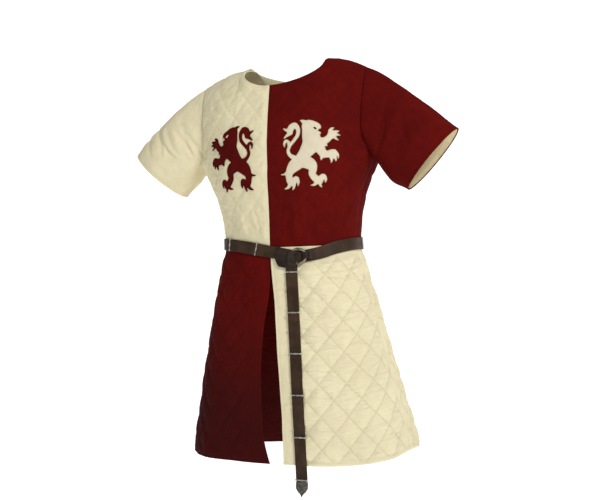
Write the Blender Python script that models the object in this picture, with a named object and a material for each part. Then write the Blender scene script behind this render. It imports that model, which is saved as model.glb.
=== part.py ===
"""A quilted gambeson, parted and quartered in red and cream, worn open over the thighs, with its ring belt.

Millimetres, +Z up, the front towards -Y and the wearer's left towards +X. The origin lies level with the
neck points of the shoulder seams, where the garment hangs on its wearer.

Each cloth piece is cut from a form: a grid of points in space with a name for each of its four edges. The
pieces meet edge to edge, so every seam has the same points on both of its sides.
"""

import math

import bmesh
import bpy
import numpy as np
from mathutils import Vector
from mathutils.geometry import delaunay_2d_cdt

METRE = 0.001

# The cloth
SEAM_THICKNESS = 4.0
PUFF = 2.6
SEAM_GAP = 0.4
DIAMOND_WIDTH = 62.0
DIAMOND_HEIGHT = 72.0
SEAM_STEP = 18.0
LINING_STEP = 42.0
SLEEVE_LINING_STEP = 28.0
SLEEVE_FACE_STEP = 19.0
CLEAR_OF_SEAM = 12.0
PUFF_REACH = 26.0
PLAIN_SLIT_EDGE = 45.0
EDGE_SAMPLES = 241
SAME_SEAM = 4.0
EDGE_ORDER = np.array([0.31, 0.17, 1.0])

# The height of the armpit, and of the waist seam by the angle round the body: 0 in front, 90 at the left
ARMPIT_Z = -227.0
WAIST = (
    ("angle", "z"),
    (-180.0, -436.0),
    (-80.0, -438.0),
    (-30.0, -446.0),
    (0.0, -448.0),
    (40.0, -446.0),
    (90.0, -438.0),
    (180.0, -436.0),
)

# Horizontal sections of the body, from the shoulders down to below the hem. Above the armpit they are wider
# than the garment, because the armholes cut them off, and the back is broader than the breast.
SECTIONS = (
    ("z", "half_width", "back_half_width", "front", "back", "centre_x", "centre_y"),
    (40.0, 252.0, 300.0, 92.0, 96.0, 0.0, 12.0),
    (-30.0, 244.0, 286.0, 93.0, 101.0, 0.0, 12.0),
    (-80.0, 238.0, 266.0, 97.0, 110.0, 0.0, 12.0),
    (-130.0, 234.0, 250.0, 103.0, 116.0, 0.0, 12.0),
    (-180.0, 228.0, 240.0, 107.0, 119.0, 0.0, 12.0),
    (-205.0, 226.0, 234.0, 108.0, 119.0, 0.0, 12.0),
    (-227.0, 230.0, 230.0, 108.0, 118.0, 0.0, 13.0),
    (-258.0, 214.0, 214.0, 110.0, 118.0, 1.0, 15.0),
    (-285.0, 200.0, 200.0, 112.0, 118.0, 1.0, 17.0),
    (-333.0, 181.0, 181.0, 113.0, 115.0, 3.0, 20.0),
    (-381.0, 171.0, 171.0, 114.0, 112.0, 5.0, 22.0),
    (-412.0, 167.5, 167.5, 116.0, 112.0, 6.5, 23.0),
    (-453.0, 168.5, 168.5, 117.0, 113.0, 7.5, 24.0),
    (-490.0, 177.5, 177.5, 123.0, 121.0, 7.5, 27.0),
    (-572.0, 198.0, 198.0, 133.0, 140.0, 8.0, 33.0),
    (-692.0, 226.0, 226.0, 144.0, 160.0, 11.0, 39.0),
    (-812.0, 253.0, 253.0, 156.0, 178.0, 15.0, 45.0),
    (-907.0, 274.0, 274.0, 165.0, 190.0, 19.0, 50.0),
    (-965.0, 286.0, 286.0, 171.0, 197.0, 22.0, 53.0),
)
SIDE_FULLNESS = 0.92

# The hem's height by the angle round the body
HEM = (
    ("angle", "z"),
    (-180.0, -930.0),
    (-90.0, -933.0),
    (-40.0, -938.0),
    (0.0, -939.0),
    (40.0, -936.0),
    (90.0, -911.0),
    (140.0, -918.0),
    (180.0, -930.0),
)

# The two edges of the opening below the belt: how far each lies from the middle, by height
OPENING = (
    ("z", "right_edge", "left_edge"),
    (-453.0, 0.0, 0.0),
    (-488.0, 0.0, 3.0),
    (-520.0, 2.0, 6.4),
    (-572.0, -1.0, 12.0),
    (-630.0, -9.0, 15.0),
    (-692.0, -15.0, 18.0),
    (-750.0, -16.5, 22.0),
    (-812.0, -15.0, 26.0),
    (-880.0, -11.0, 28.0),
    (-965.0, 6.5, 29.0),
)

# The skirt's soft folds, which deepen towards the hem: outwards where the depth is above zero
SKIRT_FOLDS = (
    ("angle", "half_width", "depth", "top_z"),
    (24.0, 12.0, 7.0, -500.0),
    (44.0, 10.0, -5.0, -620.0),
    (66.0, 12.0, 6.0, -540.0),
    (112.0, 15.0, 9.0, -520.0),
    (138.0, 12.0, -7.0, -560.0),
    (163.0, 12.0, 8.0, -500.0),
    (-20.0, 11.0, -4.0, -600.0),
    (-38.0, 11.0, 5.0, -560.0),
    (-62.0, 12.0, -4.0, -640.0),
    (-112.0, 15.0, 8.0, -520.0),
    (-140.0, 12.0, -7.0, -560.0),
    (-162.0, 12.0, 7.0, -500.0),
)
# The tucks that the belt gathers in the cloth above it, which die out towards the chest
TUCK_TOP_Z = -340.0
TUCKS = (
    ("angle", "half_width", "depth"),
    (13.0, 6.0, -4.0),
    (22.0, 6.0, 3.5),
    (34.0, 7.0, -4.0),
    (58.0, 9.0, 3.0),
    (-24.0, 7.0, 3.0),
    (-38.0, 8.0, -3.5),
    (126.0, 12.0, -4.0),
    (150.0, 11.0, 4.0),
    (-128.0, 12.0, -4.0),
    (-152.0, 11.0, 4.0),
)

# The shoulder: its seam from the neck point to the tip, and how far below it the breast and back round over.
# The neckline sits towards the wearer's left, 1. On the right, -1, it reaches out less and falls straighter.
NECK_REACH = {1: 120.0, -1: 93.0}
NECK_ROUNDNESS = {1: 0.6, -1: 1.2}
NECK_Y = 9.0
SHOULDER_TIP = (218.0, -14.0, -37.0)
SHOULDER_BOW = 6.0
SHOULDER_LEAN = 0.016
SHOULDER_ROUND = {"front": 95.0, "back": 110.0}
NECK_SHARE = 0.42
NECK_STEEPNESS = 0.9
NECK_DEPTH = {"front": -64.5, "back": -14.0}

# The armhole's line up the breast and up the back, from the armpit to the tip
ARMHOLE = {
    "front": (
        ("share", "angle", "z"),
        (0.0, 90.0, ARMPIT_Z),
        (0.1, 81.0, ARMPIT_Z + 6.0),
        (0.24, 72.0, -203.0),
        (0.42, 66.0, -173.0),
        (0.62, 64.0, -129.0),
        (0.82, 63.5, -78.0),
    ),
    "back": (
        ("share", "angle", "z"),
        (0.0, 90.0, ARMPIT_Z),
        (0.1, 83.0, ARMPIT_Z + 6.0),
        (0.24, 73.0, -203.0),
        (0.42, 64.5, -173.0),
        (0.62, 57.0, -129.0),
        (0.82, 53.0, -78.0),
    ),
}
TOP_EASE = 1.6

# The sleeves, 1 the left and -1 the right: the top and the bottom of the cuff, how far its front lies
# forward and outward of its middle, and how steeply the sleeve falls, in degrees: the top line where it
# leaves the shoulder, the underarm line where it leaves the armpit, and both at the cuff
SLEEVES = {
    1: {"cuff_top": (428.0, 9.0, -192.0), "cuff_bottom": (310.0, 14.0, -316.0), "cuff_forward": 55.0,
        "cuff_outward": 12.0, "fall_at_shoulder": 26.0, "fall_at_armpit": 62.0, "fall_at_cuff": 37.0},
    -1: {"cuff_top": (-428.0, 9.0, -187.0), "cuff_bottom": (-301.0, 14.0, -299.0), "cuff_forward": 58.0,
         "cuff_outward": 0.0, "fall_at_shoulder": 23.0, "fall_at_armpit": 51.0, "fall_at_cuff": 45.0},
}
CUFF_SWEEP = 0.1
# how far the cloth sags below the straight line from the armpit to the cuff
UNDERARM_SAG = {1: 12.0, -1: 3.0}
SLEEVE_FOLDS = (
    ("share", "half_width", "depth"),
    (0.30, 0.07, -3.5),
    (0.44, 0.08, 3.0),
    (0.60, 0.08, -3.0),
    (0.76, 0.09, 2.5),
)
LINING_THICKNESS = 1.2
LINING_DROP = 5.4
LINING_DROP_AT_HEM = 1.9
LINING_HEM_FOLD = 0.07
LINING_REACH = 0.32
LINING_HEM = 0.004

# The belt: its middle line by the angle round the body
BELT_LINE = (
    ("angle", "z"),
    (-180.0, -428.0),
    (-110.0, -427.0),
    (-63.0, -431.0),
    (-12.0, -450.0),
    (8.0, -464.0),
    (22.0, -472.0),
    (36.0, -466.0),
    (57.0, -450.0),
    (105.0, -433.0),
    (180.0, -428.0),
)
BELT_WIDTH = 28.0
BELT_THICKNESS = 2.6
BELT_CLEARANCE = 1.8
BELT_STEP = 14.0
BODY_MIDDLE = (6.0, 24.0)
BELT_FLAT_ZONE = 24.0
BUCKLE_ANGLE = 22.5
BUCKLE_RADIUS = 17.0
BUCKLE_WIRE = 3.0
BAND_ENDS = (-3.0, -4.0)
LOOP_THICKNESS = 2.0
LOOP_PATH = (
    ("distance", "rise", "width"),
    (36.0, 0.4, 25.0),
    (28.0, 0.5, 24.0),
    (23.4, 2.0, 20.0),
    (21.8, 5.0, 18.0),
    (19.2, 8.2, 17.0),
    (15.0, 8.9, 16.0),
    (11.4, 7.4, 16.0),
    (10.0, 4.4, 16.0),
    (9.4, 0.8, 16.0),
)
RING_SIDES = 28
WIRE_SIDES = 8
KNOT_THICKNESS = 3.0
KNOT_CORNERS = {
    "left_top": (-52.0, 15.0),
    "right_top": (2.0, 8.0),
    "right_bottom": (-5.0, -30.5),
    "left_bottom": (-41.0, -30.0),
}
KNOT_LEFT_BOW = -9.0
KNOT_COLUMNS = 13
KNOT_ROWS = 9
KNOT_EDGE = 0.55
KNOT_LIFT = 8.0
KNOT_LIFT_FLAT = 4.4
KNOT_LIFT_END = 12.0
TAIL_TOP = (63.0, -488.0)
TAIL_LEAVES_SKIRT = -925.0
TAIL_CLEARANCE = 0.6
TAIL_END = (104.0, -974.0)
TAIL_STEP = 26.0
BAR_PITCH = 92.5
TAIL_BARS = 6
FIRST_BAR_Z = -507.0
BELT_BARS = 8
FIRST_BAR_ANGLE = -10.0
LAST_BAR_DISTANCE = 178.0
BAR_SIZE = (31.0, 4.6, 2.4)
BAR_BEVEL = 0.9
CHAPE_DROP = 32.0
CHAPE_THICKNESS = 4.4
CHAPE_OUTLINE = ((-1.04, 0.0), (1.04, 0.0), (1.04, -0.4), (0.62, -0.68), (0.24, -0.82), (0.0, -1.0),
                 (-0.24, -0.82), (-0.62, -0.68), (-1.04, -0.4))

# The lions of the breast, facing outwards: each is cut from one cloth and sewn on flat, about 140 mm wide and
# 170 mm high. A stroke is a row of points, each with the stroke's half-width there.
APPLIQUE_THICKNESS = 1.0
LAY_GAP = 0.35
LION_PLACES = {"left": (104.5, 217.0), "right": (96.0, 220.0)}
LION_GRID = 2.0
LION_TRIM = 0.35
STROKE_STEPS = 6
LION_STROKES = {
    "body": ((3, 58, 18), (6, 44, 21), (8, 24, 22), (-3, 6, 17), (-14, -8, 13.5), (-22, -20, 15)),
    "skull": ((3, 62, 19), (11, 67, 14), (20, 69, 9), (25, 68.5, 6)),
    "jaw": ((12, 55, 10), (21, 52, 5.5), (26, 52.5, 3.6)),
    "mane_point": ((-6, 70, 8), (-13, 75, 4), (-20, 77, 1)),
    "raised_arm": ((25, 28, 12), (39, 34, 9), (48, 44, 7.5), (55, 54, 9.5)),
    "raised_elbow": ((36, 24, 7), (42, 16, 1)),
    "raised_claw_1": ((51, 60, 5), (54, 67, 3.2), (60, 71, 1)),
    "raised_claw_2": ((58, 58, 5.5), (65, 62, 3.2), (71, 64, 1)),
    "raised_claw_3": ((60, 53, 5), (67, 54, 3.0), (73, 53, 1)),
    "raised_spur": ((58, 48, 5), (63, 42, 2.8), (68, 38, 1)),
    "low_arm": ((24, 14, 13), (33, -2, 9.5), (44, -4, 8), (54, -3, 10)),
    "low_elbow": ((31, -7, 6), (27, -17, 1)),
    "low_claw_1": ((58, 1, 6), (65, -5, 3.4), (66, -13, 1)),
    "low_claw_2": ((56, -8, 5), (60, -14, 3.0), (60, -20, 1)),
    "low_claw_3": ((50, -9, 5), (51, -17, 3.0), (49, -24, 1)),
    "front_leg": ((-14, -20, 15), (2, -27, 14), (8, -37, 9.5), (6, -51, 8), (14, -62, 8.5), (22, -66, 8)),
    "front_toe_1": ((24, -62, 6.5), (30, -57, 6.5), (35, -63, 3.6), (34, -71, 1)),
    "front_toe_2": ((22, -69, 5), (22, -76, 3.2), (25, -82, 1)),
    "front_toe_3": ((16, -69, 5), (9, -75, 3.0), (1, -77, 1)),
    "back_leg": ((-23, -21, 16), (-36, -31, 14.5), (-45, -43, 10), (-48, -55, 8), (-45, -67, 8.5),
                 (-38, -69, 7)),
    "heel_spur": ((-49, -46, 6), (-58, -49, 2.6), (-67, -50, 1)),
    "back_toe_1": ((-38, -66, 6), (-31, -61, 6), (-27, -68, 3.4), (-28, -77, 1)),
    "back_toe_2": ((-38, -72, 5), (-38, -79, 3.2), (-41, -86, 1)),
    "back_toe_3": ((-46, -73, 5), (-52, -80, 3.0), (-60, -83, 1)),
    "tail": ((-33, -13, 6), (-44, -6, 4.6), (-49, 4, 4.0), (-45, 17, 3.8), (-35, 29, 3.8), (-26, 42, 4.2),
             (-25, 56, 5.2), (-32, 65, 6.5), (-41, 60, 8), (-45, 50, 7)),
    "tail_tuft_1": ((-45, 55, 6), (-53, 54, 3.2), (-61, 58, 1)),
    "tail_tuft_2": ((-43, 48, 6), (-51, 42, 3.4), (-59, 35, 1)),
    "tail_hook": ((-46, 15, 4.0), (-48, 26, 3.6), (-54, 29, 3.4), (-58, 23, 2.8), (-58, 15, 1)),
}

# Colours of the dyed linen, the leather and the metal
RED = (0.16, 0.008, 0.010, 1.0)
CREAM = (0.68, 0.60, 0.40, 1.0)
LEATHER = (0.035, 0.022, 0.015, 1.0)
STEEL = (0.45, 0.44, 0.40, 1.0)


def clear_scene():
    for old in list(bpy.data.objects):
        bpy.data.objects.remove(old)


def material(name, colour, roughness, metallic=0.0):
    made = bpy.data.materials.new(name)
    made.use_nodes = True
    shader = made.node_tree.nodes["Principled BSDF"]
    shader.inputs["Base Color"].default_value = colour
    shader.inputs["Roughness"].default_value = roughness
    shader.inputs["Metallic"].default_value = metallic
    return made


def eased(x, low, high):
    """0 below low, 1 above high, and a smooth step between."""
    t = np.clip((np.asarray(x, float) - low) / (high - low), 0, 1)
    return t * t * (3 - 2 * t)


def smooth_table(table, name, at):
    """One column of a table, read at any value of its first column by a smooth curve through the rows."""
    rows = np.array(sorted(table[1:]), float)
    x, y = rows[:, 0], rows[:, table[0].index(name)]
    slope = np.gradient(y, x)
    at = np.clip(np.asarray(at, float), x[0], x[-1])
    i = np.clip(np.searchsorted(x, at) - 1, 0, len(x) - 2)
    width = x[i + 1] - x[i]
    t = (at - x[i]) / width
    return ((1 + 2 * t) * (1 - t) ** 2 * y[i] + t * (1 - t) ** 2 * width * slope[i]
            + t * t * (3 - 2 * t) * y[i + 1] + t * t * (t - 1) * width * slope[i + 1])


def section(z, name):
    return smooth_table(SECTIONS, name, z)


def bump(x, centre, half_width):
    """1 at the centre, 0 at half_width away, and smooth between."""
    return 1 - eased(np.abs(np.asarray(x, float) - centre), 0, half_width)


def belt_z(angle):
    """The height of the belt's middle line: near level behind and at the sides, and lower in front."""
    return smooth_table(BELT_LINE, "z", (np.asarray(angle, float) + 180.0) % 360.0 - 180.0)


def folds_at(angle, z):
    """How far the folds push the wall outwards, at an angle in degrees and a height."""
    push = np.zeros(np.broadcast(angle, z).shape)
    for centre, half_width, depth, top_z in SKIRT_FOLDS[1:]:
        grown = eased(-np.asarray(z), -top_z, 950.0)
        push = push + depth * bump(angle, centre, half_width) * grown
    belt_top = belt_z(angle) + BELT_WIDTH / 2
    above_belt = eased(z, belt_top + 6.0, belt_top + 40.0) * (1 - eased(z, belt_top + 45.0, TUCK_TOP_Z))
    for centre, half_width, depth in TUCKS[1:]:
        push = push + depth * bump(angle, centre, half_width) * above_belt
    return push


def body_point(angle, z):
    """The inner face of the cloth, by the angle round the body in degrees and the height."""
    turn = np.radians(angle)
    depth = np.where(np.cos(turn) > 0, section(z, "front"), section(z, "back"))
    across = np.sign(np.sin(turn)) * np.abs(np.sin(turn)) ** SIDE_FULLNESS
    along = np.sign(np.cos(turn)) * np.abs(np.cos(turn)) ** SIDE_FULLNESS
    push = folds_at(angle, z)
    x = section(z, "centre_x") + (section(z, "half_width") + push) * across
    y = section(z, "centre_y") - (depth + push) * along
    return np.stack(np.broadcast_arrays(x, y, z), axis=-1)


def lerp(a, b, t):
    return a + (b - a) * t


def cloth_frame(angle, z):
    """A point of the form, and the directions along it, up it and out of it."""
    small = 0.5
    along = unit(body_point(angle + small, z) - body_point(angle - small, z))
    up = unit(body_point(angle, z + small) - body_point(angle, z - small))
    out = unit(np.cross(along, up))
    return body_point(angle, z), along, unit(np.cross(out, along)), out


def hermite(start, leave, end, arrive, t):
    t = np.asarray(t, float)[..., None]
    return ((1 + 2 * t) * (1 - t) ** 2 * start + t * (1 - t) ** 2 * leave
            + t * t * (3 - 2 * t) * end + t * t * (t - 1) * arrive)


def unit(v):
    v = np.asarray(v, float)
    return v / np.maximum(np.linalg.norm(v, axis=-1, keepdims=True), 1e-9)


def lengths_along(points, axis):
    """Distance walked along one axis of a grid of points."""
    steps = np.linalg.norm(np.diff(points, axis=axis), axis=-1)
    walked = np.cumsum(steps, axis=axis)
    pad = [(0, 0)] * walked.ndim
    pad[axis] = (1, 0)
    return np.pad(walked, pad)


class Form:
    """A surface that a cloth piece lies on: a grid of points, p across it and q up it, both from 0 to 1."""

    def __init__(self, points):
        self.points = points
        self.p = np.linspace(0, 1, points.shape[0])
        self.q = np.linspace(0, 1, points.shape[1])
        self.across = lengths_along(points, 0)
        self.up = lengths_along(points, 1)
        along_p = np.gradient(points, axis=0)
        along_q = np.gradient(points, axis=1)
        self.normals = unit(np.cross(along_p, along_q))

    def read(self, grid, p, q):
        """A value of the grid between its nodes."""
        u = np.clip(np.asarray(p, float), 0, 1) * (len(self.p) - 1)
        v = np.clip(np.asarray(q, float), 0, 1) * (len(self.q) - 1)
        i = np.minimum(u.astype(int), len(self.p) - 2)
        j = np.minimum(v.astype(int), len(self.q) - 2)
        u, v = u - i, v - j
        if grid.ndim == 3:
            u, v = u[..., None], v[..., None]
        return ((grid[i, j] * (1 - u) + grid[i + 1, j] * u) * (1 - v)
                + (grid[i, j + 1] * (1 - u) + grid[i + 1, j + 1] * u) * v)

    def at(self, p, q):
        return self.read(self.points, p, q)

    def normal(self, p, q):
        return unit(self.read(self.normals, p, q))

    def flat(self, p, q):
        """Where a point lies on the flat cloth: across from the edge p = 0, and up from q = 0."""
        return np.stack([self.read(self.across, p, q), self.read(self.up, p, q)], axis=-1)

    def place(self, flat):
        """The p and q of points on the flat cloth, and which of them the form really holds."""
        s, t = flat[:, 0], flat[:, 1]
        p, q = np.full(len(s), 0.5), np.full(len(s), 0.5)
        for _ in range(12):
            rows = self.read_rows(self.across, q)
            p = np.array([np.interp(a, row, self.p) for a, row in zip(s, rows)])
            columns = self.read_columns(self.up, p)
            q = np.array([np.interp(b, column, self.q) for b, column in zip(t, columns)])
        held = np.linalg.norm(self.flat(p, q) - flat, axis=1) < 1.0
        return p, q, held

    def read_rows(self, grid, q):
        v = q * (len(self.q) - 1)
        j = np.minimum(v.astype(int), len(self.q) - 2)
        return (grid[:, j] * (1 - (v - j)) + grid[:, j + 1] * (v - j)).T

    def read_columns(self, grid, p):
        u = p * (len(self.p) - 1)
        i = np.minimum(u.astype(int), len(self.p) - 2)
        return grid[i] * (1 - (u - i))[:, None] + grid[i + 1] * (u - i)[:, None]


FORM_NODES = 61
LOW_ROWS = 32
HIGH_ROWS = 44
ARMPIT_SHARE = LOW_ROWS / (LOW_ROWS + HIGH_ROWS)


def ridge(x, hand):
    """The y and z of the shoulder's crest over a distance from the middle. Inside the neck it climbs on."""
    neck = NECK_REACH[hand]
    share = (x - neck) / (SHOULDER_TIP[0] - neck)
    y = lerp(NECK_Y, SHOULDER_TIP[1], np.maximum(share, 0))
    z = SHOULDER_TIP[2] * np.maximum(share, 0)
    z = z + SHOULDER_BOW * 4 * np.clip(share, 0, 1) * (1 - np.clip(share, 0, 1))
    return y, z + np.maximum(neck - x, 0) * NECK_STEEPNESS


def breast_point(side, hand, angle, z):
    """The inner face of the cloth above the armpit, which rounds over to the crest of the shoulder."""
    turn = np.radians(angle)
    x = section(z, "half_width" if side == "front" else "back_half_width") * np.sin(turn) ** SIDE_FULLNESS
    depth = -section(z, "front") if side == "front" else section(z, "back")
    full = section(z, "centre_y") + depth * np.cos(turn).clip(0) ** SIDE_FULLNESS
    crest_y, crest_z = ridge(x, hand)
    short = 1 - np.clip((crest_z - z) / SHOULDER_ROUND[side], 0, 1)
    return np.stack([x, lerp(crest_y, full, np.sqrt(1 - short ** 2)), z], axis=-1)


def angle_at(side, x, z):
    """The angle round the body at which the form lies at a distance from the middle."""
    width = section(z, "half_width" if side == "front" else "back_half_width")
    return np.degrees(np.arcsin(np.clip(x / width, 0, 1) ** (1 / SIDE_FULLNESS)))


def top_edge(side, hand, p):
    """The angle and height of the neckline and then the shoulder seam, with p from the middle outwards."""
    neck = NECK_REACH[hand]
    turn = np.radians(90 * np.clip(p / NECK_SHARE, 0, 1))
    along = np.clip((p - NECK_SHARE) / (1 - NECK_SHARE), 0, 1)
    x = np.where(p < NECK_SHARE, neck * np.sin(turn), lerp(neck, SHOULDER_TIP[0], along))
    on_neck = NECK_DEPTH[side] * np.cos(turn).clip(0) ** NECK_ROUNDNESS[hand]
    z = np.where(p < NECK_SHARE, on_neck, ridge(x, hand)[1])
    return angle_at(side, x, z), z


def upper_form(side, hand):
    """Half the front or back of the body, from the waist seam up to the neckline and the shoulder seam.

    p runs from the middle to the side seam and the armhole. Above the armpit, the angle and the height of
    each point are blended from those of the four edges round it."""
    p = np.linspace(0, 1, FORM_NODES)[:, None]
    outwards = p * 90.0
    angle = outwards * hand if side == "front" else (180.0 - outwards) * hand
    rise = np.linspace(0, 1, LOW_ROWS + 1)[None, :]
    low = body_point(angle, lerp(smooth_table(WAIST, "z", angle), ARMPIT_Z, rise))

    q = 1 - (1 - np.linspace(0, 1, HIGH_ROWS + 1)[None, 1:]) ** TOP_EASE
    tip_angle, tip_z = top_edge(side, hand, np.array([1.0]))
    armhole_rows = ARMHOLE[side] + ((1.0, float(tip_angle[0]), float(tip_z[0])),)
    top_angle, top_z = top_edge(side, hand, p)
    edges = (
        (outwards, top_angle, 0.0 * q, smooth_table(armhole_rows, "angle", q)),
        (ARMPIT_Z + 0.0 * p, top_z, lerp(ARMPIT_Z, NECK_DEPTH[side], q),
         smooth_table(armhole_rows, "z", q)),
    )
    turned, z = (lerp(bottom, top, q) + lerp(middle, outer, p)
                 - lerp(lerp(bottom[0], top[0], q), lerp(bottom[-1], top[-1], q), p)
                 for bottom, top, middle, outer in edges)
    high = breast_point(side, hand, turned, z) * np.array([hand, 1, 1])
    high[..., 2] += SHOULDER_LEAN * high[..., 0] * q
    return oriented(np.concatenate([low, high], axis=1))


def skirt_form(side, hand):
    """Half the front or back of the skirt, from its hem up to the waist seam, p from the middle outwards."""
    p = np.linspace(0, 1, FORM_NODES)[:, None]
    rise = np.linspace(0, 1, FORM_NODES)[None, :]
    edge = "left_edge" if hand > 0 else "right_edge"
    quarter = p * 90.0 if side == "front" else 180.0 - p * 90.0
    hem_z = smooth_table(HEM, "z", quarter * hand)
    z = lerp(hem_z, smooth_table(WAIST, "z", quarter * hand), rise)
    if side == "front":
        shift = smooth_table(OPENING, edge, z) / section(z, "half_width")
        start = np.degrees(np.arcsin(shift)) * hand
        quarter = start + (90.0 - start) * p
    return oriented(body_point(quarter * hand, z))


def armhole(upper_front, upper_back):
    """The closed line of the armhole: up the front from the armpit to the tip, and down the back."""
    front = upper_front[-1, LOW_ROWS:]
    back = upper_back[-1, LOW_ROWS:][::-1]
    return np.concatenate([front, back[1:]])


def sleeve_form(hand, fronts, backs):
    """The sleeve: p runs round it from the underarm seam by the front, q from the cuff to the armhole."""
    hole = armhole(fronts, backs)
    walked = lengths_along(hole, 0)
    p = np.linspace(0, 1, FORM_NODES)
    half = HIGH_ROWS
    front_share = walked[half] / walked[-1]
    share = np.where(p < 0.5, p * 2 * front_share, front_share + (p - 0.5) * 2 * (1 - front_share))
    start = np.stack([np.interp(share * walked[-1], walked, hole[:, k]) for k in range(3)], axis=-1)

    own = SLEEVES[hand]
    cuff_top, cuff_bottom = np.array(own["cuff_top"]), np.array(own["cuff_bottom"])
    turn = 2 * math.pi * p
    half_height = (cuff_top - cuff_bottom) / 2
    forward = np.array([own["cuff_outward"] * hand, -own["cuff_forward"], 0])
    end = ((cuff_top + cuff_bottom) / 2 - np.cos(turn)[:, None] * half_height
           + np.sin(turn)[:, None] * forward)

    height = (1 - np.cos(turn)) / 2
    fall = np.radians(lerp(own["fall_at_armpit"], own["fall_at_shoulder"], height))
    leave = np.stack([hand * np.cos(fall), np.zeros_like(p), -np.sin(fall)], axis=-1)
    fall = math.radians(own["fall_at_cuff"])
    arrive = unit((hand * math.cos(fall), CUFF_SWEEP, -math.sin(fall)))
    chord = np.linalg.norm(end - start, axis=1)
    t = np.linspace(0, 1, FORM_NODES)
    out = hermite(start[:, None], (leave * chord[:, None])[:, None], end[:, None],
                  (arrive * chord[:, None])[:, None], np.broadcast_to(t, (len(p), len(t))))
    out[..., 2] -= UNDERARM_SAG[hand] * bump(height, 0.0, 0.55)[:, None] * bump(t, 0.56, 0.42)[None, :]
    push = np.zeros((len(p), len(t)))
    on_show = bump(height, 0.62, 0.5)[:, None]
    for centre, half_width, depth in SLEEVE_FOLDS[1:]:
        push = push + depth * bump(t, centre, half_width)[None, :] * on_show
    centre_line = out.mean(axis=0, keepdims=True)
    out = out + unit(out - centre_line) * push[..., None]
    sleeve = oriented(out[:, ::-1])
    sleeve.normals[0] = sleeve.normals[-1] = unit(sleeve.normals[0] + sleeve.normals[-1])
    return sleeve


def oriented(points):
    """A form whose normals point away from the wearer."""
    form = Form(points)
    middle = points.reshape(-1, 3).mean(axis=0)
    i, j = points.shape[0] // 2, points.shape[1] // 2
    inside = np.array([0.0, 30.0, middle[2]]) if abs(middle[0]) < 220 else middle
    if np.dot(form.normals[i, j], points[i, j] - inside) < 0:
        form.normals = -form.normals
    return form


class SeamBook:
    """The seams made so far, so that the second piece at a seam takes the very points of the first."""

    def __init__(self):
        self.seams = []

    def edge(self, form, start, end):
        """The p and q of points along one straight edge of a form, and their places, spaced evenly."""
        share = np.linspace(0, 1, EDGE_SAMPLES)
        walked = lengths_along(form.at(lerp(start[0], end[0], share), lerp(start[1], end[1], share)), 0)

        def spaced(count):
            even = np.interp(np.linspace(0, walked[-1], count + 1), walked, share)
            p, q = lerp(start[0], end[0], even), lerp(start[1], end[1], even)
            return np.stack([p, q], axis=-1), form.at(p, q)

        for seam in self.seams:
            domain, places = spaced(len(seam) - 1)
            for known in (seam, seam[::-1]):
                if np.linalg.norm(places - known, axis=1).max() < SAME_SEAM:
                    return domain, known
        domain, places = spaced(max(2, int(round(walked[-1] / SEAM_STEP))))
        self.seams.append(places)
        return domain, places


class Piece:
    """A cloth piece before it is a solid: its form, and the loop of seams and free edges round it."""

    def __init__(self, name, form, corners, book, lining_step=LINING_STEP, plain_edge=0.0):
        self.name, self.form, self.lining_step, self.plain_edge = name, form, lining_step, plain_edge
        domain, places = [], []
        for here, there in zip(corners, corners[1:] + corners[:1]):
            edge_domain, edge_places = book.edge(form, here, there)
            domain.append(edge_domain[:-1])
            places.append(edge_places[:-1])
        self.domain, self.rim = np.concatenate(domain), np.concatenate(places)
        self.own_normals = form.normal(self.domain[:, 0], self.domain[:, 1])
        self.rim_normals = self.own_normals.copy()

    def flat_loop(self):
        return self.form.flat(self.domain[:, 0], self.domain[:, 1])

    def drawn_back(self):
        """The rim moved into the piece by half the gap of a seam."""
        back = unit(self.rim - np.roll(self.rim, 1, axis=0))
        ahead = unit(np.roll(self.rim, -1, axis=0) - self.rim)
        before = unit(np.cross(self.own_normals, back))
        after = unit(np.cross(self.own_normals, ahead))
        mitre = (before + after) / np.maximum(1 + np.sum(before * after, axis=1, keepdims=True), 0.4)
        inner = lerp(self.domain, 0.5, 0.02)
        here = self.form.at(self.domain[:, 0], self.domain[:, 1])
        towards = self.form.at(inner[:, 0], inner[:, 1]) - here
        way = 1.0 if np.sum(mitre * towards) > 0 else -1.0
        return self.rim + mitre * way * SEAM_GAP / 2


def share_seams(pieces):
    """Gives the walls on both sides of a seam the same direction through the cloth, so they meet flush."""
    places = np.concatenate([piece.rim for piece in pieces])
    normals = np.concatenate([piece.own_normals for piece in pieces])
    for piece in pieces:
        for i, place in enumerate(piece.rim):
            met = np.linalg.norm(places - place, axis=1) < SEAM_GAP
            piece.rim_normals[i] = unit(normals[met].sum(axis=0))


def distance_to_loop(points, loop):
    """How far each point lies from the nearest side of a closed loop, in the flat."""
    nearest = np.full(len(points), np.inf)
    for a, b in zip(loop, np.roll(loop, -1, axis=0)):
        side = b - a
        t = np.clip(((points - a) @ side) / max(float(side @ side), 1e-9), 0, 1)
        nearest = np.minimum(nearest, np.linalg.norm(points - (a + t[:, None] * side), axis=1))
    return nearest


def inside_loop(points, loop):
    crossings = np.zeros(len(points), int)
    for a, b in zip(loop, np.roll(loop, -1, axis=0)):
        spans = (a[1] > points[:, 1]) != (b[1] > points[:, 1])
        if a[1] != b[1]:
            x = a[0] + (points[:, 1] - a[1]) / (b[1] - a[1]) * (b[0] - a[0])
            crossings += spans & (points[:, 0] < x)
    return crossings % 2 == 1


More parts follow.
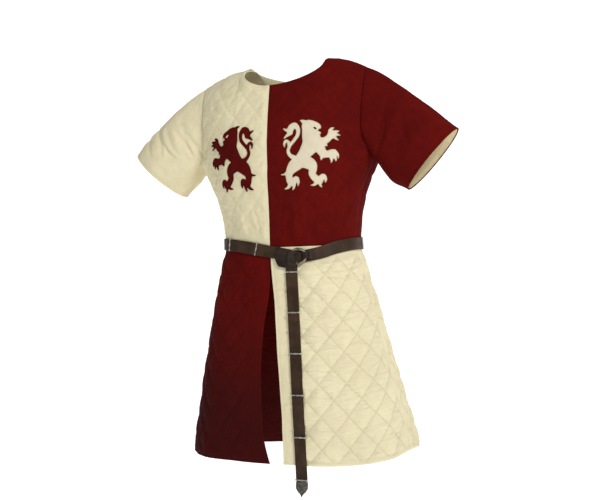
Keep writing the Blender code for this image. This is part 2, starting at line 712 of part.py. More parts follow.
def quilted_lattice(loop):
    """Points of the quilting over a loop: the crossings of its lines, the middles of their runs, the tops.

    The third column is 1 on a top, where the padding stands highest, and 0 on a line."""
    half = np.array([DIAMOND_WIDTH, DIAMOND_HEIGHT]) / 2
    first = np.floor(loop.min(axis=0) / half).astype(int) - 1
    last = np.ceil(loop.max(axis=0) / half).astype(int) + 1
    rows = []
    for i in range(first[0], last[0] + 1):
        for j in range(first[1], last[1] + 1):
            rows.append((i * half[0], j * half[1], (i + j) % 2))
            rows.append(((i + 0.5) * half[0], (j + 0.5) * half[1], 0))
    return np.array(rows, float)


def plain_lattice(loop, step):
    """Points spread evenly over a loop, for a face with no quilting."""
    low, high = loop.min(axis=0), loop.max(axis=0)
    rows = []
    for n, t in enumerate(np.arange(low[1], high[1] + step, step)):
        for s in np.arange(low[0], high[0] + step, step):
            rows.append((s + (step / 2 if n % 2 else 0), t, 0.0))
    return np.array(rows, float)


def kept(piece, flat_loop, lattice, clear):
    """The lattice points well inside the piece, how far inside they are, and their p and q on the form."""
    inside = inside_loop(lattice[:, :2], flat_loop)
    away = distance_to_loop(lattice[:, :2], flat_loop)
    lattice, away = lattice[inside & (away > clear)], away[inside & (away > clear)]
    p, q, held = piece.form.place(lattice[:, :2])
    return lattice[held], away[held], p[held], q[held]


def triangulated(loop, inner):
    """Triangles of a flat piece, by the numbers of its loop points and then its inner points."""
    flat = np.concatenate([loop, inner])
    rim = [(i, (i + 1) % len(loop)) for i in range(len(loop))]
    points, _, faces, origin, _, _ = delaunay_2d_cdt([Vector(v) for v in flat], rim, [], 0, 1e-4, True)
    number = np.array([o[0] if o else -1 for o in origin])
    if len(points) != len(flat) or -1 in number:
        raise ValueError("the outline of a cloth piece crosses itself")
    corners = number[np.array(faces)]
    return corners[inside_loop(flat[corners].mean(axis=1), loop)].tolist()


def padding_left(points):
    """How much of the padding stands, which the belt presses flat."""
    angle = np.degrees(np.arctan2(points[:, 0] - BODY_MIDDLE[0], BODY_MIDDLE[1] - points[:, 1]))
    return eased(np.abs(points[:, 2] - belt_z(angle)), BELT_FLAT_ZONE, BELT_FLAT_ZONE + 34.0)


def edge_walls(rim, count_outer):
    """Triangles of the cut edge round a piece. The diagonals fall alike on both sides of a seam."""
    faces = []
    for i in range(len(rim)):
        j = (i + 1) % len(rim)
        low_i, low_j = i + count_outer, j + count_outer
        if rim[i] @ EDGE_ORDER > rim[j] @ EDGE_ORDER:
            faces += [(j, i, low_j), (i, low_i, low_j)]
        else:
            faces += [(j, i, low_i), (j, low_i, low_j)]
    return faces


def wall(piece, thickness=SEAM_THICKNESS, plain_step=0.0):
    """The closed wall of a cloth piece, and its outer face in the flat and in space, for what lies on it.

    A plain step above zero spaces the points of an outer face that has no quilting."""
    loop = piece.flat_loop()
    if plain_step:
        lattice, away, p, q = kept(piece, loop, plain_lattice(loop, plain_step), plain_step / 3)
    else:
        lattice, away, p, q = kept(piece, loop, quilted_lattice(loop), CLEAR_OF_SEAM)
    rim = piece.drawn_back()
    base = piece.form.at(p, q)
    stand = lattice[:, 2] * eased(away, 0, PUFF_REACH) * padding_left(base)
    stand = stand * eased(lattice[:, 0], piece.plain_edge - 1.0, piece.plain_edge)
    top = base + piece.form.normal(p, q) * (thickness + PUFF * stand)[:, None]
    outer = np.concatenate([rim + piece.rim_normals * thickness, top])
    outer_faces = triangulated(loop, lattice[:, :2])

    plain, _, p, q = kept(piece, loop, plain_lattice(loop, piece.lining_step), piece.lining_step / 3)
    inner = np.concatenate([rim, piece.form.at(p, q)])
    inner_faces = np.array(triangulated(loop, plain[:, :2])) + len(outer)

    faces = list(outer_faces) + inner_faces[:, ::-1].tolist() + edge_walls(rim, len(outer))
    flat = np.concatenate([loop, lattice[:, :2]])
    return np.concatenate([outer, inner]), faces, (piece.form, flat, outer, np.array(outer_faces))


def make_object(name, verts, faces, finish):
    """A mesh object of one closed solid, from points in millimetres."""
    mesh = bpy.data.meshes.new(name)
    mesh.from_pydata([Vector(v) * METRE for v in verts], [], [[int(k) for k in face] for face in faces])
    work = bmesh.new()
    work.from_mesh(mesh)
    bmesh.ops.recalc_face_normals(work, faces=work.faces)
    if work.calc_volume(signed=True) < 0:
        bmesh.ops.reverse_faces(work, faces=work.faces)
    work.to_mesh(mesh)
    work.free()
    mesh.materials.append(finish)
    made = bpy.data.objects.new(name, mesh)
    bpy.context.scene.collection.objects.link(made)
    return made


def lofted(rings, closed=False):
    """Faces over a row of rings of points. An open row is capped at both ends."""
    count, size = rings.shape[:2]
    faces = []
    for i in range(count if closed else count - 1):
        here, there = i * size, (i + 1) % count * size
        for k in range(size):
            m = (k + 1) % size
            faces.append([here + k, here + m, there + m, there + k])
    if not closed:
        faces.append(list(range(size))[::-1])
        faces.append([(count - 1) * size + k for k in range(size)])
    return rings.reshape(-1, 3), faces


def strap(middles, across, outward, width, thickness):
    """A flat strap: the middle line of its under face, its directions, and its two sizes."""
    width = np.broadcast_to(np.asarray(width, float), len(middles))[:, None]
    corners = [middles + across * width * side + outward * thickness * top
               for side, top in ((-0.5, 0), (0.5, 0), (0.5, 1), (-0.5, 1))]
    return lofted(np.stack(corners, axis=1))


# The pieces of cloth


def build_cloth(finishes):
    """The cloth pieces and the cuff's lining. Returns what an applique needs of each piece it may lie on."""
    square = [(0.0, 0.0), (1.0, 0.0), (1.0, 1.0), (0.0, 1.0)]
    upper = [(0.0, 0.0), (1.0, 0.0), (1.0, ARMPIT_SHARE), (1.0, 1.0), (NECK_SHARE, 1.0), (0.0, 1.0)]
    tube = [(0.0, 0.0), (0.5, 0.0), (1.0, 0.0), (1.0, 1.0), (0.5, 1.0), (0.0, 1.0)]
    book = SeamBook()
    pieces, colours = [], {}
    sides = ((1, "left", "red", "cream"), (-1, "right", "cream", "red"))
    for hand, word, upper_colour, lower_colour in sides:
        forms = {side: upper_form(side, hand) for side in ("front", "back")}
        for side in ("front", "back"):
            pieces.append(Piece(f"{side}_{word}", forms[side], upper, book))
            colours[pieces[-1].name] = upper_colour
            plain_edge = PLAIN_SLIT_EDGE if side == "front" else 0.0
            skirt = skirt_form(side, hand)
            pieces.append(Piece(f"skirt_{side}_{word}", skirt, square, book, plain_edge=plain_edge))
            colours[pieces[-1].name] = lower_colour
        sleeve = sleeve_form(hand, forms["front"].points, forms["back"].points)
        pieces.append(Piece(f"sleeve_{word}", sleeve, tube, book, SLEEVE_LINING_STEP))
        colours[pieces[-1].name] = upper_colour
        if hand > 0:
            lined_sleeve = sleeve
    share_seams(pieces)
    carriers = {}
    for piece in pieces:
        plain_step = SLEEVE_FACE_STEP if piece.name.startswith("sleeve") else 0.0
        verts, faces, carriers[piece.name] = wall(piece, plain_step=plain_step)
        make_object(piece.name, verts, faces, finishes[colours[piece.name]])

    drop = lerp(LINING_DROP_AT_HEM, LINING_DROP, eased(lined_sleeve.q, 0.0, LINING_HEM_FOLD))[:, None]
    inside = Form(lined_sleeve.points - lined_sleeve.normals * drop)
    inside.normals = lined_sleeve.normals
    reach = [(p, q * LINING_REACH + LINING_HEM) for p, q in tube]
    lining = Piece("cuff_lining_left", inside, reach, SeamBook(), SLEEVE_LINING_STEP)
    share_seams([lining])
    verts, faces, _ = wall(lining, LINING_THICKNESS, SLEEVE_LINING_STEP)
    make_object(lining.name, verts, faces, finishes["cream"])
    return carriers


# The lions


def smooth_stroke(points):
    """A stroke's centre line and half-width, by a smooth curve through its points."""
    rows = np.array(points, float)
    rows = np.vstack([2 * rows[0] - rows[1], rows, 2 * rows[-1] - rows[-2]])
    t = np.linspace(0, 1, STROKE_STEPS, endpoint=False)[:, None]
    runs = []
    for a, b, c, d in zip(rows, rows[1:], rows[2:], rows[3:]):
        runs.append(0.5 * (2 * b + (c - a) * t + (2 * a - 5 * b + 4 * c - d) * t ** 2
                           + (3 * b - a - 3 * c + d) * t ** 3))
    return np.vstack(runs + [rows[-2:-1]])


def lion_field(x, y):
    """How far a point lies outside the lion's shape: below zero within it."""
    field = np.full(x.shape, np.inf)
    for stroke in LION_STROKES.values():
        line = smooth_stroke(stroke)
        for (ax, ay, ar), (bx, by, br) in zip(line, line[1:]):
            length = max((bx - ax) ** 2 + (by - ay) ** 2, 1e-9)
            t = np.clip(((x - ax) * (bx - ax) + (y - ay) * (by - ay)) / length, 0, 1)
            gap = np.hypot(x - lerp(ax, bx, t), y - lerp(ay, by, t)) - lerp(ar, br, t)
            field = np.minimum(field, gap)
    return field


def zero_line(field, xs, ys):
    """The longest closed line along which a field on a grid is zero."""
    crossing, links = {}, {}

    def cross(i, j, k, m):
        a, b = field[i, j], field[k, m]
        if (a < 0) == (b < 0):
            return None
        key = (i, j, k, m)
        t = a / (a - b)
        crossing[key] = (lerp(xs[i], xs[k], t), lerp(ys[j], ys[m], t))
        return key

    for i in range(len(xs) - 1):
        for j in range(len(ys) - 1):
            sides = (cross(i, j, i + 1, j), cross(i + 1, j, i + 1, j + 1),
                     cross(i, j + 1, i + 1, j + 1), cross(i, j, i, j + 1))
            met = [side for side in sides if side]
            for a, b in zip(met[::2], met[1::2]):
                links.setdefault(a, []).append(b)
                links.setdefault(b, []).append(a)
    loops, left = [], set(links)
    while left:
        here = min(left)
        loop = []
        while here is not None:
            left.discard(here)
            loop.append(crossing[here])
            here = next((k for k in links[here] if k in left), None)
        loops.append(np.array(loop))
    return max(loops, key=len)


def trimmed(line, tolerance):
    """An open line with the points left out that lie within a tolerance of the straight run past them."""
    if len(line) < 3:
        return line
    run = line[-1] - line[0]
    length = max(np.linalg.norm(run), 1e-9)
    rel = line - line[0]
    off = np.abs(rel[:, 0] * run[1] - rel[:, 1] * run[0]) / length
    k = int(np.argmax(off))
    if off[k] < tolerance:
        return np.array([line[0], line[-1]])
    return np.vstack([trimmed(line[:k + 1], tolerance)[:-1], trimmed(line[k:], tolerance)])


def lion_outline():
    points = np.vstack([smooth_stroke(stroke) for stroke in LION_STROKES.values()])
    margin = points[:, 2].max()
    low, high = points[:, :2].min(axis=0) - margin, points[:, :2].max(axis=0) + margin
    xs, ys = np.arange(low[0], high[0], LION_GRID), np.arange(low[1], high[1], LION_GRID)
    loop = zero_line(lion_field(*np.meshgrid(xs, ys, indexing="ij")), xs, ys)
    far = int(np.argmax(np.linalg.norm(loop - loop[0], axis=1)))
    there, back = loop[:far + 1], np.vstack([loop[far:], loop[:1]])
    return np.vstack([trimmed(there, LION_TRIM)[:-1], trimmed(back, LION_TRIM)[:-1]])


def build_applique(name, outline, carrier, finish):
    """A cut-out shape that lies on a piece and follows every facet of its outer face."""
    form, flat, outer, triangles = carrier
    low, high = outline.min(axis=0) - DIAMOND_HEIGHT, outline.max(axis=0) + DIAMOND_HEIGHT
    near = np.all((flat[triangles] > low) & (flat[triangles] < high), axis=(1, 2))
    triangles = triangles[near]
    count = len(outline)
    edges = [(i, (i + 1) % count) for i in range(count)]
    ridges = {tuple(sorted((int(a), int(b)))) for t in triangles for a, b in zip(t, np.roll(t, 1))}
    used = sorted({v for edge in ridges for v in edge})
    number = {v: k + count for k, v in enumerate(used)}
    points = np.concatenate([outline, flat[used]])
    edges += [(number[a], number[b]) for a, b in sorted(ridges)]
    found, _, faces, _, _, _ = delaunay_2d_cdt([Vector(v) for v in points], edges, [], 0, 1e-3, True)
    found, faces = np.array([tuple(v) for v in found]), np.array(faces)
    faces = faces[inside_loop(found[faces].mean(axis=1), outline)]
    kept_points, faces = np.unique(faces, return_inverse=True)
    faces = faces.reshape(-1, 3)
    found = found[kept_points]

    places = np.empty((len(found), 3))
    corners = flat[triangles]
    for k, point in enumerate(found):
        weights = barycentric(point, corners)
        best = int(np.argmax(weights.min(axis=1)))
        places[k] = weights[best] @ outer[triangles[best]]
    p, q, _ = form.place(found)
    normals = form.normal(p, q)
    top = places + normals * (LAY_GAP + APPLIQUE_THICKNESS)
    verts = np.concatenate([places + normals * LAY_GAP, top])
    sides = {}
    for a, b, c in faces:
        for edge in ((a, b), (b, c), (c, a)):
            sides[edge] = sides.get(edge, 0) + 1
    border = [(a, b) for a, b in sides if (b, a) not in sides]
    size = len(found)
    solid = [list(f[::-1]) for f in faces] + [[a + size, b + size, c + size] for a, b, c in faces]
    solid += [[a, b, b + size, a + size] for a, b in border]
    make_object(name, verts, solid, finish)


def barycentric(point, corners):
    """The weights of a point in each of many flat triangles."""
    a, b, c = corners[:, 0], corners[:, 1], corners[:, 2]
    area = (b[:, 0] - a[:, 0]) * (c[:, 1] - a[:, 1]) - (c[:, 0] - a[:, 0]) * (b[:, 1] - a[:, 1])
    v = ((point[0] - a[:, 0]) * (c[:, 1] - a[:, 1]) - (c[:, 0] - a[:, 0]) * (point[1] - a[:, 1])) / area
    w = ((b[:, 0] - a[:, 0]) * (point[1] - a[:, 1]) - (point[0] - a[:, 0]) * (b[:, 1] - a[:, 1])) / area
    return np.stack([1 - v - w, v, w], axis=-1)


# The belt


class BeltLine:
    """The path of the belt's middle round the cloth, by the distance from the buckle leftwards."""

    def __init__(self):
        self.angles = np.linspace(BUCKLE_ANGLE, BUCKLE_ANGLE + 360.0, 721)
        line = body_point(self.wrapped(self.angles), belt_z(self.angles))
        self.walked = lengths_along(line, 0)
        self.length = self.walked[-1]

    @staticmethod
    def wrapped(angle):
        return (np.asarray(angle, float) + 180.0) % 360.0 - 180.0

    def angle(self, distance):
        return np.interp(np.asarray(distance, float) % self.length, self.walked, self.angles)

    def frame(self, distance):
        """The outer face of the cloth under the belt, and the directions along, up and out of the belt."""
        angle = self.angle(distance)
        small = 0.5
        here, _, _, out = cloth_frame(self.wrapped(angle), belt_z(angle))
        ahead = body_point(self.wrapped(angle + small), belt_z(angle + small))
        behind = body_point(self.wrapped(angle - small), belt_z(angle - small))
        along = unit(ahead - behind)
        up = unit(np.cross(out, along))
        out = unit(np.cross(along, up))
        return here + out * SEAM_THICKNESS, along, up, out


def build_band(line, finishes):
    """The strap round the waist, and the loop of its sewn end round the ring."""
    start, stop = BAND_ENDS[0], line.length + BAND_ENDS[1]
    steps = np.linspace(start, stop, int(round((stop - start) / BELT_STEP)) + 1)
    here, _, up, out = line.frame(steps)
    verts, faces = strap(here + out * BELT_CLEARANCE, up, out, BELT_WIDTH, BELT_THICKNESS)
    make_object("belt_band", verts, faces, finishes["leather"])

    path = np.array(LOOP_PATH[1:])
    here, along, up, out = line.frame(path[:, 0])
    rise = (BELT_CLEARANCE + BELT_THICKNESS + path[:, 1])[:, None]
    run = np.gradient(path[:, :2], axis=0)
    run = run / np.linalg.norm(run, axis=1, keepdims=True)
    away = along * run[:, 1:2] - out * run[:, 0:1]
    verts, faces = strap(here + out * rise, up, away, path[:, 2], LOOP_THICKNESS)
    make_object("belt_ring_loop", verts, faces, finishes["leather"])


def build_ring(line, finishes):
    """The round buckle, which lies flat on the strap."""
    here, along, up, out = (v[0] for v in line.frame(np.array([0.0])))
    centre = here + out * (BELT_CLEARANCE + BELT_THICKNESS + LAY_GAP + BUCKLE_WIRE)
    rings = []
    for turn in np.linspace(0, 2 * math.pi, RING_SIDES, endpoint=False):
        radial = along * math.cos(turn) + up * math.sin(turn)
        around = np.linspace(0, 2 * math.pi, WIRE_SIDES, endpoint=False)[:, None]
        rings.append(centre + radial * (BUCKLE_RADIUS + BUCKLE_WIRE * np.cos(around))
                     + out * BUCKLE_WIRE * np.sin(around))
    verts, faces = lofted(np.array(rings), closed=True)
    make_object("belt_ring", verts, faces, finishes["steel"])


def build_knot(line, finishes):
    """The turn of the free end that comes up through the ring, over its edge and down across the strap."""
    corner = {name: np.array(place) for name, place in KNOT_CORNERS.items()}
    columns, rows = np.linspace(0, 1, KNOT_COLUMNS), np.linspace(0, 1, KNOT_ROWS)
    p, q = (v[..., None] for v in np.meshgrid(columns, rows, indexing="ij"))
    spot = lerp(lerp(corner["left_bottom"], corner["right_bottom"], p),
                lerp(corner["left_top"], corner["right_top"], p), q)
    spot = spot + np.concatenate([KNOT_LEFT_BOW * (1 - p) * 4 * q * (1 - q), np.zeros_like(p)], axis=-1)
    reach = np.linalg.norm(spot, axis=-1)
    lift = LAY_GAP + KNOT_LIFT * (1 - eased(np.abs(reach - BUCKLE_RADIUS), KNOT_LIFT_FLAT, KNOT_LIFT_END))
    here, _, up, out = line.frame(spot[..., 0].ravel())
    shape = spot.shape[:2] + (3,)
    here, up, out = here.reshape(shape), up.reshape(shape), out.reshape(shape)
    under = here + up * spot[..., 1:2] + out * (BELT_CLEARANCE + BELT_THICKNESS + lift)[..., None]
    crown = (KNOT_THICKNESS * (KNOT_EDGE + (1 - KNOT_EDGE) * np.sin(math.pi * q) ** 0.5
                               * np.sin(math.pi * np.clip(p + 0.12, 0, 1)) ** 0.5))
    over = under + out * crown
    verts, faces = closed_sheet(under, over)
    make_object("belt_knot", verts, faces, finishes["leather"])


def closed_sheet(under, over):
    """The solid between two grids of points."""
    columns, rows = under.shape[:2]
    count = columns * rows

    def at(i, j, level):
        return level * count + i * rows + j

    faces = []
    for i in range(columns - 1):
        for j in range(rows - 1):
            faces.append([at(i, j, 0), at(i, j + 1, 0), at(i + 1, j + 1, 0), at(i + 1, j, 0)])
            faces.append([at(i, j, 1), at(i + 1, j, 1), at(i + 1, j + 1, 1), at(i, j + 1, 1)])
    for i in range(columns - 1):
        for j in (0, rows - 1):
            faces.append([at(i, j, 0), at(i + 1, j, 0), at(i + 1, j, 1), at(i, j, 1)])
    for j in range(rows - 1):
        for i in (0, columns - 1):
            faces.append([at(i, j, 0), at(i, j + 1, 0), at(i, j + 1, 1), at(i, j, 1)])
    return np.concatenate([under.reshape(-1, 3), over.reshape(-1, 3)]), faces


def tail_frame(z):
    """The under face of the hanging strap at a height: its middle, and its directions along, up and out."""
    share = (np.asarray(z, float) - TAIL_TOP[1]) / (TAIL_END[1] - TAIL_TOP[1])
    x = lerp(TAIL_TOP[0], TAIL_END[0], share)
    on_skirt = np.maximum(z, TAIL_LEAVES_SKIRT)
    low, high = np.zeros_like(x), np.full_like(x, 60.0)
    for _ in range(30):
        angle = (low + high) / 2
        short = body_point(angle, on_skirt)[..., 0] < x
        low, high = np.where(short, angle, low), np.where(short, high, angle)
    here, along, up, out = cloth_frame(angle, on_skirt)
    pad = PUFF * eased(belt_z(angle) - on_skirt, BELT_FLAT_ZONE - 8.0, BELT_FLAT_ZONE + 30.0)
    here = here + out * (SEAM_THICKNESS + TAIL_CLEARANCE + pad)[:, None]
    here = here + up * (np.asarray(z, float) - on_skirt)[:, None]
    return here, along, up, out


def build_tail(finishes):
    """The hanging end of the strap, with a pointed metal chape on its tip."""
    z = np.linspace(TAIL_TOP[1], TAIL_END[1], int(round((TAIL_TOP[1] - TAIL_END[1]) / TAIL_STEP)) + 1)
    here, along, _, out = tail_frame(z)
    verts, faces = strap(here, along, out, BELT_WIDTH, BELT_THICKNESS)
    make_object("belt_tail", verts, faces, finishes["leather"])

    here, along, up, out = (v[0] for v in tail_frame(np.array([TAIL_END[1] - LAY_GAP])))
    here = here + out * (BELT_THICKNESS - CHAPE_THICKNESS) / 2
    outline = [here + along * x * BELT_WIDTH / 2 + up * drop * CHAPE_DROP for x, drop in CHAPE_OUTLINE]
    rings = np.array([outline, [point + out * CHAPE_THICKNESS for point in outline]])
    verts, faces = lofted(rings)
    make_object("belt_chape", verts, faces, finishes["steel"])


def bar_mesh():
    """One bar mount: a small rounded bar across the strap, along X and with its under face at Z = 0."""
    work = bmesh.new()
    bmesh.ops.create_cube(work, size=1.0)
    bmesh.ops.scale(work, vec=Vector(BAR_SIZE), verts=work.verts)
    bmesh.ops.translate(work, vec=(0, 0, BAR_SIZE[2] / 2), verts=work.verts)
    top = [e for e in work.edges if max(v.co.z for v in e.verts) > BAR_SIZE[2] / 2]
    bmesh.ops.bevel(work, geom=top, offset=BAR_BEVEL, segments=1, affect="EDGES")
    verts = np.array([v.co[:] for v in work.verts])
    faces = [[v.index for v in face.verts] for face in work.faces]
    work.free()
    return verts, faces


def build_bars(line, finishes):
    """The bars across the strap, at one pitch round the waist and down the hanging end."""
    shape, faces = bar_mesh()
    seats = []
    start = np.interp(FIRST_BAR_ANGLE + 360.0, line.angles, line.walked)
    for k, distance in enumerate(np.linspace(start, LAST_BAR_DISTANCE, BELT_BARS)):
        here, along, up, out = (v[0] for v in line.frame(np.array([distance])))
        seats.append((f"belt_bar_{k + 1}", here + out * (BELT_CLEARANCE + BELT_THICKNESS), up, -along, out))
    for k in range(TAIL_BARS):
        here, along, up, out = (v[0] for v in tail_frame(np.array([FIRST_BAR_Z - k * BAR_PITCH])))
        seats.append((f"tail_bar_{k + 1}", here + out * BELT_THICKNESS, along, up, out))
    for name, seat, lengthways, crossways, out in seats:
        verts = seat + out * LAY_GAP + shape @ np.array([lengthways, crossways, out])
        make_object(name, verts, faces, finishes["steel"])


def main():
    clear_scene()
    finishes = {
        "red": material("red_linen", RED, 0.9),
        "cream": material("cream_linen", CREAM, 0.9),
        "leather": material("belt_leather", LEATHER, 0.45),
        "steel": material("belt_steel", STEEL, 0.35, 0.9),
    }
    carriers = build_cloth(finishes)
    lion = lion_outline()
    for word, colour in (("left", "cream"), ("right", "red")):
        placed = lion + np.array(LION_PLACES[word])
        build_applique(f"lion_{word}", placed, carriers[f"front_{word}"], finishes[colour])
    line = BeltLine()
    build_band(line, finishes)
    build_ring(line, finishes)
    build_knot(line, finishes)
    build_tail(finishes)
    build_bars(line, finishes)


main()
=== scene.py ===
"""The look of a worn, quilted gambeson in red and cream, with two lions and a knotted ring belt.

Lengths are in millimetres until a mesh is made. +Z is up, -Y the front and +X the wearer's left.
"""
import math

import bmesh
import bpy
import numpy as np
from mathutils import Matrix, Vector
from mathutils.geometry import delaunay_2d_cdt


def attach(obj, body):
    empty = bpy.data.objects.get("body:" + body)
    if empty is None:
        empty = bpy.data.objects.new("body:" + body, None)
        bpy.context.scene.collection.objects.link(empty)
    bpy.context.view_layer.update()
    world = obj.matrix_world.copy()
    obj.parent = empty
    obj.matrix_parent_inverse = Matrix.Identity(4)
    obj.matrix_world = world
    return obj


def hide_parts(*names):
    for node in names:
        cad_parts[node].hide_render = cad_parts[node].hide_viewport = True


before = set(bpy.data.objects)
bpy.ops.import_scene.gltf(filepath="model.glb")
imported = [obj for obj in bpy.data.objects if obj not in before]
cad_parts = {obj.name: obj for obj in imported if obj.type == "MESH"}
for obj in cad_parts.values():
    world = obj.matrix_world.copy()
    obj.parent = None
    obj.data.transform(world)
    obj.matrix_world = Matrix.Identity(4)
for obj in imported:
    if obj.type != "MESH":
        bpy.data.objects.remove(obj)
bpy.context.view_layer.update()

# The studio: a glowing paper sweep that runs down well behind the garment and out under it, two soft boxes in
# front and a pale room round them. The camera stands to the wearer's left, a little below the belt.
PAPER_DROP, PAPER_FRONT, PAPER_BACK, PAPER_TOP = -1.62, -5.0, 5.0, 4.5
PAPER_BEND, PAPER_HALF_WIDTH, PAPER_GLOW = 1.6, 8.0, 0.62
SOFT_BOXES = (
    # place, what it faces, size, watts
    ((2.3, -1.7, 1.4), (0.05, 0.0, -0.5), 0.7, 72.0),
    ((-1.1, -2.3, 1.25), (-0.1, 0.0, -0.2), 1.1, 7.0),
)
ROOM_BRIGHTNESS = 0.33
VIEW_TURN, VIEW_RISE, VIEW_ASIDE = math.radians(27.4), math.radians(4.25), math.radians(0.79)
VIEW_DISTANCE, VIEW_HEIGHT, VIEW_LENS, VIEW_SENSOR = 2.430, -0.628, 60.92, 36.0


def linked(name, data):
    made = bpy.data.objects.new(name, data)
    bpy.context.scene.collection.objects.link(made)
    return made


profile = [(PAPER_FRONT, PAPER_DROP)]
for bend in np.linspace(0, math.pi / 2, 13):
    profile.append((PAPER_BACK - PAPER_BEND + PAPER_BEND * math.sin(bend),
                    PAPER_DROP + PAPER_BEND - PAPER_BEND * math.cos(bend)))
profile.append((PAPER_BACK, PAPER_TOP))
paper_mesh = bpy.data.meshes.new("paper_sweep")
paper_mesh.from_pydata([(x, y, z) for y, z in profile for x in (-PAPER_HALF_WIDTH, PAPER_HALF_WIDTH)], [],
                       [(2 * i, 2 * i + 1, 2 * i + 3, 2 * i + 2) for i in range(len(profile) - 1)])
for face in paper_mesh.polygons:
    face.use_smooth = True
paper = linked("paper_sweep", paper_mesh)
paper_white = bpy.data.materials.new("pale_paper")
paper_white.use_nodes = True
for socket, value in (("Base Color", (0.95, 0.95, 0.945, 1)), ("Roughness", 0.9),
                      ("Emission Color", (1, 1, 1, 1)), ("Emission Strength", PAPER_GLOW)):
    paper_white.node_tree.nodes["Principled BSDF"].inputs[socket].default_value = value
paper_mesh.materials.append(paper_white)

for number, (place, facing, size, watts) in enumerate(SOFT_BOXES):
    lamp = bpy.data.lights.new(f"soft_box_{number + 1}", "AREA")
    lamp.shape, lamp.size, lamp.energy = "SQUARE", size, watts
    box = linked(lamp.name, lamp)
    box.location = place
    box.rotation_euler = (Vector(facing) - Vector(place)).to_track_quat("-Z", "Y").to_euler()
room = bpy.data.worlds.new("pale_room")
room.use_nodes = True
room.node_tree.nodes["Background"].inputs["Color"].default_value = (1.0, 1.0, 1.0, 1)
room.node_tree.nodes["Background"].inputs["Strength"].default_value = ROOM_BRIGHTNESS
bpy.context.scene.world = room
bpy.context.scene.view_settings.view_transform = "Standard"

camera_data = bpy.data.cameras.new("camera")
camera_data.lens, camera_data.sensor_width, camera_data.sensor_fit = VIEW_LENS, VIEW_SENSOR, "HORIZONTAL"
camera = linked("camera", camera_data)
camera.location = (VIEW_DISTANCE * math.sin(VIEW_TURN), -VIEW_DISTANCE * math.cos(VIEW_TURN), VIEW_HEIGHT)
camera.rotation_euler = (math.pi / 2 + VIEW_RISE, 0, VIEW_TURN - VIEW_ASIDE)
bpy.context.scene.camera = camera

# The skirts: four flared quarters, each of two layers of linen with batting between them, sewn through in
# diamonds. They are seamed to the waist, to each other behind and at the sides, and hang open in front.
MM = 0.001
CLOTH = 4.0                 # thickness at a sewn line
PUFF = 5.0                  # how far the padding stands above the sewn lines, where it shows most
DIAMOND = (62.0, 72.0)
CELL = 3.2                  # the mesh's own step
SEAM_GAP = 0.3
PLAIN_STRIP = 45.0          # the unquilted strip down each free front edge
BELT_HALF_WIDTH = 14.0
BODY_MIDDLE = (6.0, 24.0)

# Horizontal sections: z, half width, half width of the upper back, front, back, middle x, middle y
SECTION_NAMES = ("z", "half_width", "back_half_width", "front", "back", "centre_x", "centre_y")
SECTIONS = (
    (40.0, 252.0, 300.0, 92.0, 96.0, 0.0, 12.0),
    (-30.0, 244.0, 286.0, 93.0, 101.0, 0.0, 12.0),
    (-80.0, 238.0, 266.0, 97.0, 110.0, 0.0, 12.0),
    (-130.0, 234.0, 250.0, 103.0, 116.0, 0.0, 12.0),
    (-180.0, 228.0, 240.0, 107.0, 119.0, 0.0, 12.0),
    (-205.0, 226.0, 234.0, 108.0, 119.0, 0.0, 12.0),
    (-227.0, 230.0, 230.0, 108.0, 118.0, 0.0, 13.0),
    (-258.0, 214.0, 214.0, 110.0, 118.0, 1.0, 15.0),
    (-285.0, 200.0, 200.0, 112.0, 118.0, 1.0, 17.0),
    (-333.0, 181.0, 181.0, 113.0, 115.0, 3.0, 20.0),
    (-381.0, 171.0, 171.0, 114.0, 112.0, 5.0, 22.0),
    (-412.0, 167.5, 167.5, 116.0, 112.0, 6.5, 23.0),
    (-453.0, 168.5, 168.5, 117.0, 113.0, 7.5, 24.0),
    (-490.0, 177.5, 177.5, 123.0, 121.0, 7.5, 27.0),
    (-572.0, 198.0, 198.0, 133.0, 140.0, 8.0, 33.0),
    (-692.0, 226.0, 226.0, 144.0, 160.0, 11.0, 39.0),
    (-812.0, 253.0, 253.0, 156.0, 178.0, 15.0, 45.0),
    (-907.0, 274.0, 274.0, 165.0, 190.0, 19.0, 50.0),
    (-965.0, 286.0, 286.0, 171.0, 197.0, 22.0, 53.0),
)
SIDE_FULLNESS = 0.92
WAIST = ((-180.0, -436.0), (-80.0, -438.0), (-30.0, -446.0), (0.0, -448.0), (40.0, -446.0), (90.0, -438.0),
         (180.0, -436.0))
HEM = ((-180.0, -930.0), (-90.0, -933.0), (-40.0, -938.0), (0.0, -939.0), (40.0, -936.0), (90.0, -911.0),
       (140.0, -918.0), (180.0, -930.0))
# z, and how far the right and the left free edge of the front lie from the middle
OPENING = ((-453.0, 0.0, 0.0), (-488.0, 0.0, 3.0), (-520.0, 2.0, 6.4), (-572.0, -1.0, 12.0),
           (-630.0, -9.0, 15.0), (-692.0, -15.0, 18.0), (-750.0, -16.5, 22.0), (-812.0, -15.0, 26.0),
           (-880.0, -11.0, 28.0), (-965.0, 6.5, 29.0))
# angle round the body, half width, depth at the hem, and the height at which the fold begins
SKIRT_FOLDS = (
    (24.0, 12.0, 7.0, -500.0), (44.0, 10.0, -5.0, -620.0), (66.0, 12.0, 6.0, -540.0),
    (112.0, 15.0, 9.0, -520.0), (138.0, 12.0, -7.0, -560.0), (163.0, 12.0, 8.0, -500.0),
    (-20.0, 11.0, -4.0, -600.0), (-38.0, 11.0, 5.0, -560.0), (-62.0, 12.0, -4.0, -640.0),
    (-112.0, 15.0, 8.0, -520.0), (-140.0, 12.0, -7.0, -560.0), (-162.0, 12.0, 7.0, -500.0),
)
FOLDS_FULL = -950.0
